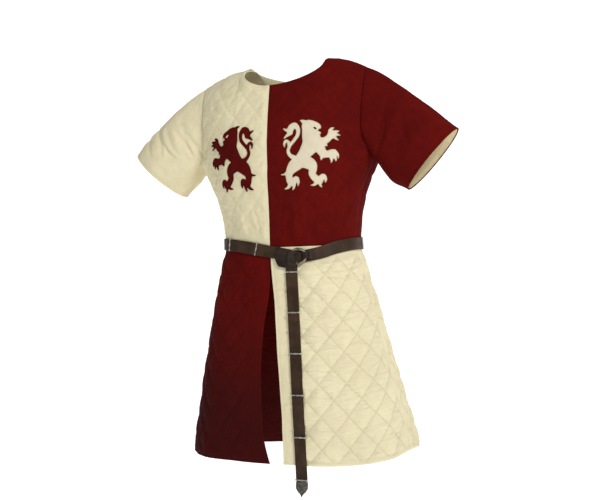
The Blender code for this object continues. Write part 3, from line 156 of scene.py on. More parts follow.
# the tucks that the belt gathers above it: where they begin, are full and start to fade over the belt's edge,
# and the height at which they end; then the angle, half width and depth of each
TUCK_FOOT, TUCK_FULL, TUCK_FADE, TUCK_TOP = 6.0, 40.0, 45.0, -340.0
TUCKS = ((13.0, 6.0, -4.0), (22.0, 6.0, 3.5), (34.0, 7.0, -4.0), (58.0, 9.0, 3.0), (126.0, 12.0, -4.0),
         (150.0, 11.0, 4.0), (-24.0, 7.0, 3.0), (-38.0, 8.0, -3.5), (-128.0, 12.0, -4.0), (-152.0, 11.0, 4.0))
BELT_LINE = ((-180.0, -428.0), (-110.0, -427.0), (-63.0, -431.0), (-12.0, -450.0), (8.0, -464.0),
             (22.0, -472.0), (36.0, -466.0), (57.0, -450.0), (105.0, -433.0), (180.0, -428.0))
BELT_PRESSED, BELT_CLEAR = 17.0, 44.0       # padding nearer the belt's line is flat, and further off free
# the padding: how far from a seam it rises, how far from a sewn line it is full, and how bluntly
PAD_RISE, PILLOW_REACH, PILLOW_BLUNTNESS = (3.0, 15.0), 23.0, 2.6
PUCKER_HEIGHT, PUCKER_PITCH, PUCKER_DRIFT, PUCKER_REACH = 0.45, 8.3, 41.0, 4.5
INSIDE_DRAW, INSIDE_REACH = 0.7, 3.0        # how far a sewn line draws the inner face in
# reach and depth of what the edges do: the roll of a free one, the dip to a seam, the press of hem and strip
ROLL_REACH, ROLL_TUCK = 2.4, 0.15
DIP_REACH, DIP_DEPTH = 4.6, 1.9
HEM_LINE, HEM_REACH, HEM_DEPTH, HEM_INSIDE = 6.0, 1.3, 0.8, 0.5
STRIP_REACH, STRIP_DEPTH = 1.5, 0.9
# how far from a seam the slight waves and the creases take to be full, and what the belt leaves of them
WAVE_REACH, WAVE_LEFT, CREASE_REACH, CREASE_LEFT = 26.0, 0.35, 9.0, 0.2
FAR_OFF = 1e3
PLACE_ROUNDS, PLACE_STEP, PLACE_SLOPE, PLACE_MISS = 40, 0.9, 0.2, 0.6
EDGE_STEPS = (0.0, 0.5, 1.2, 2.2, 3.6, 5.0, 6.2, 7.6, 9.6)


def lerp(a, b, t):
    return a + (b - a) * t


def eased(x, low, high):
    t = np.clip((np.asarray(x, float) - low) / (high - low), 0, 1)
    return t * t * (3 - 2 * t)


def bump(x, centre, half_width):
    return 1 - eased(np.abs(np.asarray(x, float) - centre), 0, half_width)


def bell(x, width, centre=0.0):
    return np.exp(-((x - centre) / width) ** 2)


def quarter_round(x):
    """From 0 at 0 to 1 at 1 and beyond, in a quarter of a circle."""
    return np.sqrt(np.clip(1 - (1 - np.clip(x, 0, 1)) ** 2, 0, 1))


def curve_through(rows, at, column=1):
    """A smooth curve through the rows of a table, read at any value of their first column."""
    rows = np.array(sorted(rows), float)
    x, y = rows[:, 0], rows[:, column]
    slope = np.gradient(y, x)
    at = np.clip(np.asarray(at, float), x[0], x[-1])
    i = np.clip(np.searchsorted(x, at) - 1, 0, len(x) - 2)
    width = x[i + 1] - x[i]
    t = (at - x[i]) / width
    return ((1 + 2 * t) * (1 - t) ** 2 * y[i] + t * (1 - t) ** 2 * width * slope[i]
            + t * t * (3 - 2 * t) * y[i + 1] + t * t * (t - 1) * width * slope[i + 1])


def section(z, name):
    return curve_through(SECTIONS, z, SECTION_NAMES.index(name))


def unit(v):
    return v / np.maximum(np.linalg.norm(v, axis=-1, keepdims=True), 1e-9)


def wrapped(angle):
    return (np.asarray(angle, float) + 180.0) % 360.0 - 180.0


def belt_height(angle):
    return curve_through(BELT_LINE, wrapped(angle))


def body_point(angle, z):
    """The inside of the cloth on the wearer, by the angle round the body in degrees and the height."""
    push = np.zeros(np.broadcast(angle, z).shape)
    for centre, half_width, depth, top in SKIRT_FOLDS:
        push = push + depth * bump(angle, centre, half_width) * eased(-np.asarray(z), -top, -FOLDS_FULL)
    belt_top = belt_height(angle) + BELT_HALF_WIDTH
    above = (eased(z, belt_top + TUCK_FOOT, belt_top + TUCK_FULL)
             * (1 - eased(z, belt_top + TUCK_FADE, TUCK_TOP)))
    for centre, half_width, depth in TUCKS:
        push = push + depth * bump(angle, centre, half_width) * above
    turn = np.radians(angle)
    depth = np.where(np.cos(turn) > 0, section(z, "front"), section(z, "back"))
    sideways = np.sign(np.sin(turn)) * np.abs(np.sin(turn)) ** SIDE_FULLNESS
    forward = np.sign(np.cos(turn)) * np.abs(np.cos(turn)) ** SIDE_FULLNESS
    x = section(z, "centre_x") + (section(z, "half_width") + push) * sideways
    y = section(z, "centre_y") - (depth + push) * forward
    return np.stack(np.broadcast_arrays(x, y, z), axis=-1)


def walked(points, axis):
    """Distance walked over a grid of points along one of its axes."""
    steps = np.cumsum(np.linalg.norm(np.diff(points, axis=axis), axis=-1), axis=axis)
    pad = [(0, 0)] * steps.ndim
    pad[axis] = (1, 0)
    return np.pad(steps, pad)


def read(grid, i, j):
    """A grid's value at any place between its rows and columns."""
    i, j = np.clip(i, 0, grid.shape[0] - 1.0001), np.clip(j, 0, grid.shape[1] - 1.0001)
    a, b = i.astype(int), j.astype(int)
    u, v = i - a, j - b
    if grid.ndim == 3:
        u, v = u[..., None], v[..., None]
    return ((grid[a, b] * (1 - u) + grid[a + 1, b] * u) * (1 - v)
            + (grid[a, b + 1] * (1 - u) + grid[a + 1, b + 1] * u) * v)


def steps_along(length):
    """Distances along a panel's side, closer together where its edge is rolled. Their number is odd."""
    middle = int(round((length - 2 * EDGE_STEPS[-1]) / CELL / 2)) * 2
    inner = np.linspace(EDGE_STEPS[-1], length - EDGE_STEPS[-1], middle + 1)
    return np.concatenate([EDGE_STEPS[:-1], inner, length - np.array(EDGE_STEPS[:-1])[::-1]])


class Panel:
    """One cut panel of quilted cloth: a fine grid on the worn form, across it by i and up it by j."""

    def __init__(self, name, form, free, padding, plain_strip=0.0, creases=()):
        """form gives points from the shares p across and q up. free has a number for each of the four edges:
        the inner, the outer, the low and the top one, 1 where it is a free edge and 0 where it is a seam.
        padding is the share of PUFF to which it stands up between the sewn lines."""
        self.name, self.padding, self.plain_strip, self.creases = name, padding, plain_strip, creases
        even = np.linspace(0, 1, 201)
        coarse = form(even[:, None], even[None, :])
        wide, tall = walked(coarse, 0).mean(axis=1), walked(coarse, 1).mean(axis=0)
        p = np.interp(steps_along(wide[-1]), wide, even)
        q = np.interp(steps_along(tall[-1]), tall, even)
        self.p, self.q = p, q
        self.base = form(p[:, None], q[None, :])
        self.across, self.up = walked(self.base, 0), walked(self.base, 1)
        self.normals = unit(np.cross(self.slope(0), self.slope(1)))
        self.free = [np.broadcast_to(edge, size).astype(float)
                     for edge, size in zip(free, (len(q), len(q), len(p), len(p)))]

    def slope(self, axis):
        walk = (self.across, self.up)[axis]
        rise = np.gradient(self.base, axis=axis)
        return rise / np.maximum(np.gradient(walk, axis=axis), 1e-6)[..., None]

    def face_outwards(self, inside):
        """Turns the normals so that they point away from a place inside the garment."""
        i, j = len(self.p) // 2, len(self.q) // 2
        if np.dot(self.normals[i, j], self.base[i, j] - inside) < 0:
            self.normals = -self.normals

    def edge_distances(self):
        return (self.across, self.across[-1:, :] - self.across, self.up, self.up[:, -1:] - self.up)

    def shape(self):
        """Raises the padding and rolls the edges, and keeps the outer and the inner face."""
        distances = self.edge_distances()
        spread = [f[None, :] if k < 2 else f[:, None] for k, f in enumerate(self.free)]
        seam = np.minimum.reduce([d + FAR_OFF * f for d, f in zip(distances, spread)])
        edge = np.minimum.reduce([d + FAR_OFF * (1 - f) for d, f in zip(distances, spread)])

        sewn, along = quilting(self.across, self.up)
        pressed = belt_pressure(self.base)
        ground = (eased(np.minimum(seam, edge), *PAD_RISE) * pressed * self.padding
                  * eased(self.across, self.plain_strip - 0.5, self.plain_strip + 0.5))
        pillow = 1 - (1 - np.clip(sewn / PILLOW_REACH, 0, 1)) ** PILLOW_BLUNTNESS
        pucker = (np.sin(along / PUCKER_PITCH * 2 * math.pi + 2.1 * np.sin(along / PUCKER_DRIFT))
                  * np.exp(-sewn / PUCKER_REACH))
        self.quilted = ground
        self.full = PUFF * ground
        self.stand = self.full * pillow + PUCKER_HEIGHT * pucker * ground

        worn = wander(self.base) * eased(seam, 0.0, WAVE_REACH) * lerp(WAVE_LEFT, 1.0, pressed)
        for row in self.creases:
            worn = worn + (crease(self.across, self.up, *row) * eased(seam, 0.0, CREASE_REACH)
                           * lerp(CREASE_LEFT, 1.0, pressed))
        roll, dip = quarter_round(edge / ROLL_REACH), 1 - quarter_round(seam / DIP_REACH)
        hem = bell(edge, HEM_REACH, HEM_LINE)
        strip = bell(self.across, STRIP_REACH, self.plain_strip) if self.plain_strip else 0.0
        outer = (CLOTH * (0.5 + 0.5 * roll) + ROLL_TUCK * (1 - roll) - DIP_DEPTH * dip - HEM_DEPTH * hem
                 - STRIP_DEPTH * strip)
        inner = CLOTH * (0.5 - 0.5 * roll) - ROLL_TUCK * (1 - roll) + HEM_INSIDE * hem * roll
        drawn_in = INSIDE_DRAW * np.exp(-sewn / INSIDE_REACH) * ground

        middle = self.base.reshape(-1, 3).mean(axis=0)
        parted = unit(middle - self.base) * (SEAM_GAP / 2 * (seam < 0.01))[..., None]
        self.outer = self.base + parted + self.normals * (outer + self.stand + worn)[..., None]
        self.inner = self.base + parted + self.normals * (inner + drawn_in + worn)[..., None]

    def place(self, flat):
        """The i and j at which points of the flat cloth lie, and which of them the panel holds."""
        i, j = np.full(len(flat), len(self.p) / 2), np.full(len(flat), len(self.q) / 2)
        per_column, per_row = np.gradient(self.across, axis=0), np.gradient(self.up, axis=1)
        for _ in range(PLACE_ROUNDS):
            short_s, short_t = flat[:, 0] - read(self.across, i, j), flat[:, 1] - read(self.up, i, j)
            per_i = np.maximum(read(per_column, i, j), PLACE_SLOPE)
            per_j = np.maximum(read(per_row, i, j), PLACE_SLOPE)
            i = np.clip(i + PLACE_STEP * short_s / per_i, 0, len(self.p) - 1)
            j = np.clip(j + PLACE_STEP * short_t / per_j, 0, len(self.q) - 1)
        miss = np.hypot(read(self.across, i, j) - flat[:, 0], read(self.up, i, j) - flat[:, 1])
        return i, j, miss < PLACE_MISS


def quilting(s, t):
    """How far a point of the flat cloth lies from the nearest sewn line, and its way along that line."""
    rising, falling = s / DIAMOND[0] + t / DIAMOND[1], s / DIAMOND[0] - t / DIAMOND[1]
    steep = math.hypot(1 / DIAMOND[0], 1 / DIAMOND[1])
    to_rising = np.abs(rising - np.round(rising)) / steep
    to_falling = np.abs(falling - np.round(falling)) / steep
    along = np.where(to_rising < to_falling, falling, rising) / steep
    return np.minimum(to_rising, to_falling), along


def belt_pressure(points):
    """1 where the padding stands free, 0 where the belt presses it flat."""
    angle = np.degrees(np.arctan2(points[..., 0] - BODY_MIDDLE[0], BODY_MIDDLE[1] - points[..., 1]))
    return eased(np.abs(points[..., 2] - belt_height(angle)), BELT_PRESSED, BELT_CLEAR)


def wander(points):
    """The slight unevenness of worn cloth, the same on both sides of a seam."""
    x, y, z = points[..., 0], points[..., 1], points[..., 2]
    return (0.55 * np.sin(x / 19.0 + 1.7 * np.sin(z / 47.0)) * np.sin(z / 26.0 + y / 31.0)
            + 0.45 * np.sin(x / 33.0 - z / 21.0 + 0.8) * np.sin(y / 24.0 + z / 61.0)
            + 0.25 * np.sin((x + z) / 9.5 + 1.3 * np.sin(y / 17.0)))


def crease(s, t, s0, t0, s1, t1, half_width, depth, bow=0.0):
    """A soft trough, or a ridge where the depth is above zero, between two places of the flat cloth."""
    run = math.hypot(s1 - s0, t1 - t0)
    ahead_s, ahead_t = (s1 - s0) / run, (t1 - t0) / run
    along = (s - s0) * ahead_s + (t - t0) * ahead_t
    share = np.clip(along / run, 0, 1)
    aside = (t - t0) * ahead_s - (s - s0) * ahead_t - bow * 4 * share * (1 - share)
    past = along - share * run
    width = half_width * (0.55 + 0.45 * np.sin(math.pi * np.clip(share, 0.02, 0.98)))
    gap = np.hypot(aside, past * 0.8)
    trough = bell(gap, 0.6 * width)
    shoulders = bell(np.abs(aside), 0.7 * width, width) * bell(past, width)
    return depth * (trough - 0.22 * shoulders) * np.sin(math.pi * lerp(0.12, 0.88, share)) ** 0.7


def rim(grid):
    """What lies round the outside of a grid, in order."""
    return np.concatenate([grid[:, 0], grid[-1, 1:], grid[-2::-1, -1], grid[0, -2:0:-1]])


def quads(number, flip=False):
    """The faces of a grid of numbered points."""
    corners = [number[:-1, :-1], number[1:, :-1], number[1:, 1:], number[:-1, 1:]]
    return np.stack([c.ravel() for c in (corners[::-1] if flip else corners)], axis=1).tolist()


def finished(name, points, faces, finish, sharp, flat=None, turned=True):
    """A piece from its points and faces, shaded smooth where it bends by less than sharp degrees.
    flat gives each point's place on the flat cloth, and turned makes the faces point outwards."""
    mesh = bpy.data.meshes.new(name)
    mesh.from_pydata((points.reshape(-1, 3) * MM).tolist(), [], faces)
    if turned:
        made = bmesh.new()
        made.from_mesh(mesh)
        bmesh.ops.recalc_face_normals(made, faces=made.faces)
        made.to_mesh(mesh)
        made.free()
    mesh.polygons.foreach_set("use_smooth", [True] * len(mesh.polygons))
    mesh.set_sharp_from_angle(angle=math.radians(sharp))
    if flat is not None:
        corner = np.empty(len(mesh.loops), int)
        mesh.loops.foreach_get("vertex_index", corner)
        mesh.uv_layers.new(name="flat_cloth").data.foreach_set("uv", (flat * MM)[corner].ravel())
    mesh.materials.append(finish)
    return linked(name, mesh)


def sewn_cloth(panel, finish):
    """The closed mesh of a panel: its outer face, a coarser inner face, and the edge between them."""
    def both(grid):
        return np.concatenate([grid.ravel(), grid[::2, ::2].ravel()])

    n, m = panel.outer.shape[:2]
    outer_number = np.arange(n * m).reshape(n, m)
    inner_number = n * m + np.arange(((n + 1) // 2) * ((m + 1) // 2)).reshape((n + 1) // 2, (m + 1) // 2)
    i, j = n // 2, m // 2
    turn = np.cross(panel.outer[i + 1, j] - panel.outer[i, j], panel.outer[i, j + 1] - panel.outer[i, j])
    flip = bool(np.dot(turn, panel.normals[i, j]) < 0)
    faces = quads(outer_number, flip) + quads(inner_number, not flip)
    fine, coarse = rim(outer_number), rim(inner_number)
    for k in range(len(coarse)):
        a, b, c = fine[2 * k], fine[2 * k + 1], fine[(2 * k + 2) % len(fine)]
        low_a, low_c = coarse[k], coarse[(k + 1) % len(coarse)]
        for face in ((b, a, low_a), (c, b, low_c), (b, low_a, low_c)):
            faces.append([int(v) for v in (face[::-1] if flip else face)])
    points = np.concatenate([panel.outer.reshape(-1, 3), panel.inner[::2, ::2].reshape(-1, 3)])
    flat = np.stack([both(panel.across), both(panel.up)], axis=1)
    piece = finished(panel.name, points, faces, finish, 55, flat, turned=False)
    quilted = both(panel.quilted).astype(np.float32)
    piece.data.attributes.new("quilted", "FLOAT", "POINT").data.foreach_set("value", quilted)
    return piece


def wired(tree, kind, settings=(), **inputs):
    """A new node, its inputs set or linked by their names, or by their numbers as _0, _1 and so on."""
    made = tree.nodes.new(kind)
    for key, value in settings:
        setattr(made, key, value)
    for key, value in inputs.items():
        socket = made.inputs[int(key[1:])] if key[0] == "_" else made.inputs[key.replace("_", " ")]
        if isinstance(value, bpy.types.NodeSocket):
            tree.links.new(value, socket)
        else:
            socket.default_value = value
    return made


class Wiring:
    """Short names for the nodes of one finish."""

    def __init__(self, name, roughness, metallic=0.0, sheen=0.0, specular=0.5):
        self.finish = bpy.data.materials.new(name)
        self.finish.use_nodes = True
        self.tree = self.finish.node_tree
        self.shader = self.tree.nodes["Principled BSDF"]
        for socket, value in (("Roughness", roughness), ("Metallic", metallic), ("Sheen Weight", sheen),
                              ("Specular IOR Level", specular)):
            self.shader.inputs[socket].default_value = value

    def node(self, kind, settings=(), **inputs):
        return wired(self.tree, kind, settings, **inputs)

    def sum(self, operation, a, b=0.0, c=0.0):
        return self.node("ShaderNodeMath", [("operation", operation)], _0=a, _1=b, _2=c).outputs[0]

    def mix(self, share, a, b):
        return self.node("ShaderNodeMix", [("data_type", "RGBA")], _0=share, _6=a, _7=b).outputs[2]

    def noise(self, scale, detail=3.0, stretch=None, source=None, roughness=0.55):
        source = source or self.node("ShaderNodeTexCoord").outputs["Object"]
        if stretch:
            source = self.node("ShaderNodeMapping", Vector=source, Scale=stretch).outputs[0]
        return self.node("ShaderNodeTexNoise", Vector=source, Scale=scale, Detail=detail,
                         Roughness=roughness).outputs[0]

    def ranged(self, value, low, high, to_low=0.0, to_high=1.0):
        return self.node("ShaderNodeMapRange", [("interpolation_type", "SMOOTHSTEP")], Value=value, _1=low,
                         _2=high, _3=to_low, _4=to_high).outputs[0]

    def relief(self, height, distance, strength=1.0, under=None):
        made = self.node("ShaderNodeBump", Height=height, Distance=distance, Strength=strength)
        if under:
            self.tree.links.new(under, made.inputs["Normal"])
        return made.outputs[0]

    def done(self, colour=None, normal=None, roughness=None):
        for key, value in (("Base Color", colour), ("Normal", normal), ("Roughness", roughness)):
            if value is not None:
                self.tree.links.new(value, self.shader.inputs[key])
        return self.finish


YARNS, SLUB_LONG, SLUB_THIN = 330.0, 60.0, 900.0        # repeats in a metre of cloth
PAINTED_HEM_SHADE_HEIGHTS = (-0.52, -0.86)                               # the heights in metres between which painted shade darkens the colour towards the hem


def linen(name, colour, shade, sheen, shine, wrinkles, quilted=True, painted_hem_shade=None):
    """Plain-woven linen, dyed in the piece: an uneven yarn each way, and a tone that wanders a little.
    wrinkles is the strength of the small ones, and the last argument the darker colour painted towards the
    hem as shade."""
    work = Wiring(name, 0.88, sheen=sheen, specular=shine)
    work.shader.inputs["Sheen Roughness"].default_value = 0.45
    flat = work.node("ShaderNodeUVMap", [("uv_map", "flat_cloth")]).outputs[0]
    warp, weft = (work.node("ShaderNodeTexWave", [("bands_direction", way)], Vector=flat, Scale=YARNS,
                            Distortion=0.6, Detail=1.0).outputs[1] for way in "XY")
    yarn = work.sum("MULTIPLY", warp, weft)
    slubs = work.sum("ADD", *(work.noise(1.0, 2.0, stretch, flat)
                              for stretch in ((SLUB_LONG, SLUB_THIN, 1.0), (SLUB_THIN, SLUB_LONG, 1.0))))
    slubs = work.sum("MULTIPLY", slubs, 0.5)
    tone, mottle = work.noise(9.0, 4.0), work.noise(70.0, 3.0)
    tone = work.sum("ADD", work.sum("MULTIPLY", tone, 0.6), work.sum("MULTIPLY", mottle, 0.4))
    worn = work.mix(work.ranged(tone, 0.36, 0.66), shade, colour)
    worn = work.mix(work.ranged(slubs, 0.40, 0.66, 0.0, 0.30), worn, shade)
    # painted shade: below about half a metre the colour darkens towards the hem
    if painted_hem_shade:
        place = work.node("ShaderNodeTexCoord").outputs["Object"]
        height = work.node("ShaderNodeSeparateXYZ", Vector=place).outputs[2]
        worn = work.mix(work.ranged(height, *PAINTED_HEM_SHADE_HEIGHTS, 0.0, 0.85), worn, painted_hem_shade)
    crumple = work.noise(26.0, 3.0, roughness=0.5)
    height = work.relief(crumple, 0.007, wrinkles)
    ground = work.node("ShaderNodeAttribute", [("attribute_name", "quilted")]).outputs["Fac"]
    drawn = work.noise(1.0, 2.0, (13.0, 62.0, 1.0), flat, 0.6)
    drawn = work.sum("MULTIPLY", drawn, work.sum("MULTIPLY_ADD", ground, 0.85, 0.15))
    height = work.relief(drawn, 0.011, wrinkles, height)
    if quilted:
        parted = work.node("ShaderNodeSeparateXYZ", Vector=flat)
        across = work.sum("DIVIDE", parted.outputs[0], DIAMOND[0] * MM)
        up = work.sum("DIVIDE", parted.outputs[1], DIAMOND[1] * MM)
        near = work.sum("MINIMUM", work.sum("PINGPONG", work.sum("ADD", across, up), 0.5),
                        work.sum("PINGPONG", work.sum("SUBTRACT", across, up), 0.5))
        # painted shade: along the sewn lines the colour darkens towards half the shade colour, where the
        # grooves would lie in shade
        line = work.sum("MULTIPLY", work.ranged(near, 0.06, 0.0), ground)
        worn = work.mix(work.sum("MULTIPLY", line, 0.22), worn, tuple(0.5 * c for c in shade[:3]) + (1,))
        height = work.relief(work.sum("MULTIPLY", line, -1.0), 0.0004, 0.4, height)
    height = work.relief(work.sum("ADD", yarn, slubs), 0.0003, 0.3, height)
    return work.done(worn, height)


cream_linen = linen("cream_linen_cloth", (0.73, 0.66, 0.44, 1), (0.68, 0.61, 0.40, 1), 0.04, 0.2, 0.8)
# the red cloth is painted darker towards the hem as shade
red_linen = linen("red_linen_cloth", (0.112, 0.0040, 0.0026, 1), (0.082, 0.0030, 0.0024, 1), 0.0, 0.05, 0.4,
                  painted_hem_shade=(0.033, 0.0038, 0.0036, 1))


def skirt_form(side, hand):
    def form(p, q):
        quarter = p * 90.0 if side == "front" else 180.0 - p * 90.0
        z = lerp(curve_through(HEM, quarter * hand), curve_through(WAIST, quarter * hand), q)
        if side == "front":
            shift = curve_through(OPENING, z, 2 if hand > 0 else 1) / section(z, "half_width")
            start = np.degrees(np.arcsin(shift)) * hand
            quarter = start + (90.0 - start) * p
        return body_point(quarter * hand, z)
    return form


# from and to, across from the front or the back middle and up from the hem, then half width, depth and bow
SKIRT_CREASES = {
    "front_left": (
        (70, 470, 128, 392, 13, -1.7, 6), (118, 478, 190, 418, 12, -1.5, -5), (60, 430, 96, 330, 14, 1.4, 5),
        (150, 330, 232, 250, 16, -1.2, 8), (96, 250, 130, 120, 17, 1.2, -6), (190, 180, 246, 60, 18, -1.3, 7),
        (20, 410, 24, 300, 9, -0.9, 2), (26, 250, 18, 130, 10, 0.8, -2),
        (22, 449, 92, 441, 5, 1.7, 2), (54, 432, 132, 438, 5, -1.9, -3), (112, 450, 190, 455, 6, 1.6, 3),
        (150, 436, 236, 446, 6, -1.8, -3), (30, 420, 84, 415, 6, 1.3, 2), (96, 421, 158, 417, 6, -1.4, 3),
        (178, 428, 250, 436, 6, 1.2, 2), (4, 396, 40, 391, 5, -2.4, 2), (5, 352, 42, 358, 4, 2.2, -2),
        (12, 330, 44, 326, 4, -1.8, 1), (4, 300, 38, 296, 5, -2.3, 1), (8, 268, 40, 272, 4, 1.9, 1),
        (6, 240, 42, 245, 5, 2.0, 1), (4, 190, 40, 185, 4, -2.3, -2), (10, 158, 43, 161, 4, -1.7, 1),
        (5, 128, 41, 133, 5, 2.0, 1), (4, 78, 40, 73, 4, -1.9, 1),
    ),
    "front_right": (
        (30, 452, 96, 340, 15, -1.7, 8), (86, 470, 170, 372, 14, -1.3, -6), (60, 300, 150, 190, 18, -1.8, 9),
        (120, 250, 210, 130, 17, 1.3, -8), (34, 180, 96, 60, 16, -1.4, 6), (170, 120, 236, 30, 16, -1.1, 5),
        (196, 440, 222, 330, 13, 1.2, 4),
    ),
    "back_left": (
        (40, 470, 60, 360, 14, -1.6, 5), (110, 476, 134, 350, 15, 1.3, -6), (170, 460, 214, 340, 14, -1.4, 6),
        (70, 300, 96, 140, 18, -1.3, 7), (180, 260, 232, 110, 17, 1.2, -7), (30, 200, 44, 60, 15, 1.1, 4),
    ),
    "back_right": (
        (54, 474, 70, 372, 13, -1.5, -5), (128, 468, 160, 352, 15, -1.4, 6), (196, 470, 226, 364, 12, 1.1, 4),
        (36, 320, 60, 180, 17, 1.2, -6), (140, 250, 186, 90, 18, -1.4, 8), (226, 200, 258, 70, 15, -1.0, 5),
    ),
}
SKIRT_PADDING = {1: 0.95, -1: 0.6}
BODY_INSIDE = np.array([0.0, 30.0, -500.0])
panels = {}
for hand, word in ((1, "left"), (-1, "right")):
    for side in ("front", "back"):
        opens = 1.0 if side == "front" else 0.0
        panel = Panel(f"quilted_skirt_{side}_{word}", skirt_form(side, hand), (opens, 0.0, 1.0, 0.0),
                      SKIRT_PADDING[hand], PLAIN_STRIP * opens, SKIRT_CREASES[f"{side}_{word}"])
        panel.face_outwards(BODY_INSIDE)
        panel.shape()
        piece = sewn_cloth(panel, cream_linen if hand > 0 else red_linen)
        panels[f"skirt_{side}_{word}"] = panel
        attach(piece, "root")
        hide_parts(f"skirt_{side}_{word}")

# The breasts, the backs and the sleeves: six panels of padded linen. The breasts meet the backs on the
# shoulders and at the sides and are quilted lightly. The short plain sleeves are set into the armholes, with
# one seam under the arm and a turned hem.
SHOULDER_TIP = (218.0, -14.0, -37.0)
SHOULDER_BOW, SHOULDER_LEAN = 6.0, 0.016
SHOULDER_ROUND = {"front": 95.0, "back": 110.0}
# the neckline sits towards the wearer's left, 1, and falls straighter on the right, -1
NECK_REACH, NECK_ROUNDNESS, NECK_Y = {1: 120.0, -1: 93.0}, {1: 0.6, -1: 1.2}, 9.0
NECK_SHARE, NECK_STEEPNESS = 0.42, 0.9
NECK_DEPTH = {"front": -64.5, "back": -14.0}
ARMPIT, ARMPIT_SHARE, TOP_EASE = -227.0, 32 / 76, 1.6
# share of the armhole from armpit to shoulder tip, angle round the body, height
ARMHOLE = {
    "front": ((0.0, 90.0, -227.0), (0.1, 81.0, -221.0), (0.24, 72.0, -203.0), (0.42, 66.0, -173.0),
              (0.62, 64.0, -129.0), (0.82, 63.5, -78.0)),
    "back": ((0.0, 90.0, -227.0), (0.1, 83.0, -221.0), (0.24, 73.0, -203.0), (0.42, 64.5, -173.0),
             (0.62, 57.0, -129.0), (0.82, 53.0, -78.0)),
}
SLEEVES = {
    1: {"cuff_top": (428.0, 9.0, -192.0), "cuff_bottom": (310.0, 14.0, -316.0), "cuff_forward": 55.0,
        "cuff_outward": 12.0, "fall_at_shoulder": 26.0, "fall_at_armpit": 62.0, "fall_at_cuff": 37.0},
    -1: {"cuff_top": (-428.0, 9.0, -187.0), "cuff_bottom": (-301.0, 14.0, -299.0), "cuff_forward": 58.0,
         "cuff_outward": 0.0, "fall_at_shoulder": 23.0, "fall_at_armpit": 51.0, "fall_at_cuff": 45.0},
}
CUFF_SWEEP = 0.1
UNDERARM_SAG = {1: 12.0, -1: 3.0}     # how far the cloth sags below the line from armpit to cuff
# share of the way from shoulder to cuff, half width, depth
SLEEVE_FOLDS = ((0.30, 0.07, -3.5), (0.44, 0.08, 3.0), (0.60, 0.08, -3.0), (0.76, 0.09, 2.5))
ARMHOLE_STEPS = 150
UPPER_PADDING = {1: 0.25, -1: 0.33}
UPPER_INSIDE, SLEEVE_INSIDE = np.array([0.0, 30.0, -250.0]), np.array([300.0, 12.0, -190.0])


def ridge(x, hand):
    neck = NECK_REACH[hand]
    share = (x - neck) / (SHOULDER_TIP[0] - neck)
    y = lerp(NECK_Y, SHOULDER_TIP[1], np.maximum(share, 0))
    z = SHOULDER_TIP[2] * np.maximum(share, 0)
    z = z + SHOULDER_BOW * 4 * np.clip(share, 0, 1) * (1 - np.clip(share, 0, 1))
    return y, z + np.maximum(neck - x, 0) * NECK_STEEPNESS


def breast_point(side, hand, angle, z):
    """The inside of the cloth above the armpit, which rounds over to the crest of the shoulder."""
    turn = np.radians(angle)
    x = section(z, "half_width" if side == "front" else "back_half_width") * np.sin(turn) ** SIDE_FULLNESS
    depth = -section(z, "front") if side == "front" else section(z, "back")
    full = section(z, "centre_y") + depth * np.cos(turn).clip(0) ** SIDE_FULLNESS
    crest_y, crest_z = ridge(x, hand)
    short = 1 - np.clip((crest_z - z) / SHOULDER_ROUND[side], 0, 1)
    return np.stack([x, lerp(crest_y, full, np.sqrt(1 - short ** 2)), z], axis=-1)


def top_edge(side, hand, p):
    """The angle and the height of the neckline, and then of the shoulder seam."""
    neck = NECK_REACH[hand]
    turn = np.radians(90 * np.clip(p / NECK_SHARE, 0, 1))
    along = np.clip((p - NECK_SHARE) / (1 - NECK_SHARE), 0, 1)
    x = np.where(p < NECK_SHARE, neck * np.sin(turn), lerp(neck, SHOULDER_TIP[0], along))
    on_neck = NECK_DEPTH[side] * np.cos(turn).clip(0) ** NECK_ROUNDNESS[hand]
    z = np.where(p < NECK_SHARE, on_neck, ridge(x, hand)[1])
    width = section(z, "half_width" if side == "front" else "back_half_width")
    return np.degrees(np.arcsin(np.clip(x / width, 0, 1) ** (1 / SIDE_FULLNESS))), z


def upper_form(side, hand):
    def form(p, q):
        outwards = p * 90.0
        angle = (outwards if side == "front" else 180.0 - outwards) * hand
        rise = np.clip(q / ARMPIT_SHARE, 0, 1)
        low = body_point(angle, lerp(curve_through(WAIST, angle), ARMPIT, rise))
        t = 1 - (1 - np.clip((q - ARMPIT_SHARE) / (1 - ARMPIT_SHARE), 0, 1)) ** TOP_EASE
        tip_angle, tip_z = top_edge(side, hand, np.array([1.0]))
        armhole_rows = ARMHOLE[side] + ((1.0, float(tip_angle[0]), float(tip_z[0])),)
        top_angle, top_z = top_edge(side, hand, p)
        hole_angle, hole_z = curve_through(armhole_rows, t, 1), curve_through(armhole_rows, t, 2)
        edges = ((outwards, top_angle, 0.0 * t, hole_angle),
                 (ARMPIT + 0.0 * p, top_z, lerp(ARMPIT, NECK_DEPTH[side], t), hole_z))
        turned, z = (lerp(bottom, top, t) + lerp(middle, outer, p)
                     - lerp(lerp(bottom[0], top[0], t), lerp(bottom[-1], top[-1], t), p)
                     for bottom, top, middle, outer in edges)
        high = breast_point(side, hand, turned.clip(0), z) * np.array([hand, 1, 1])
        high[..., 2] += SHOULDER_LEAN * high[..., 0] * t
        return np.where((q <= ARMPIT_SHARE)[..., None], low, high)
    return form


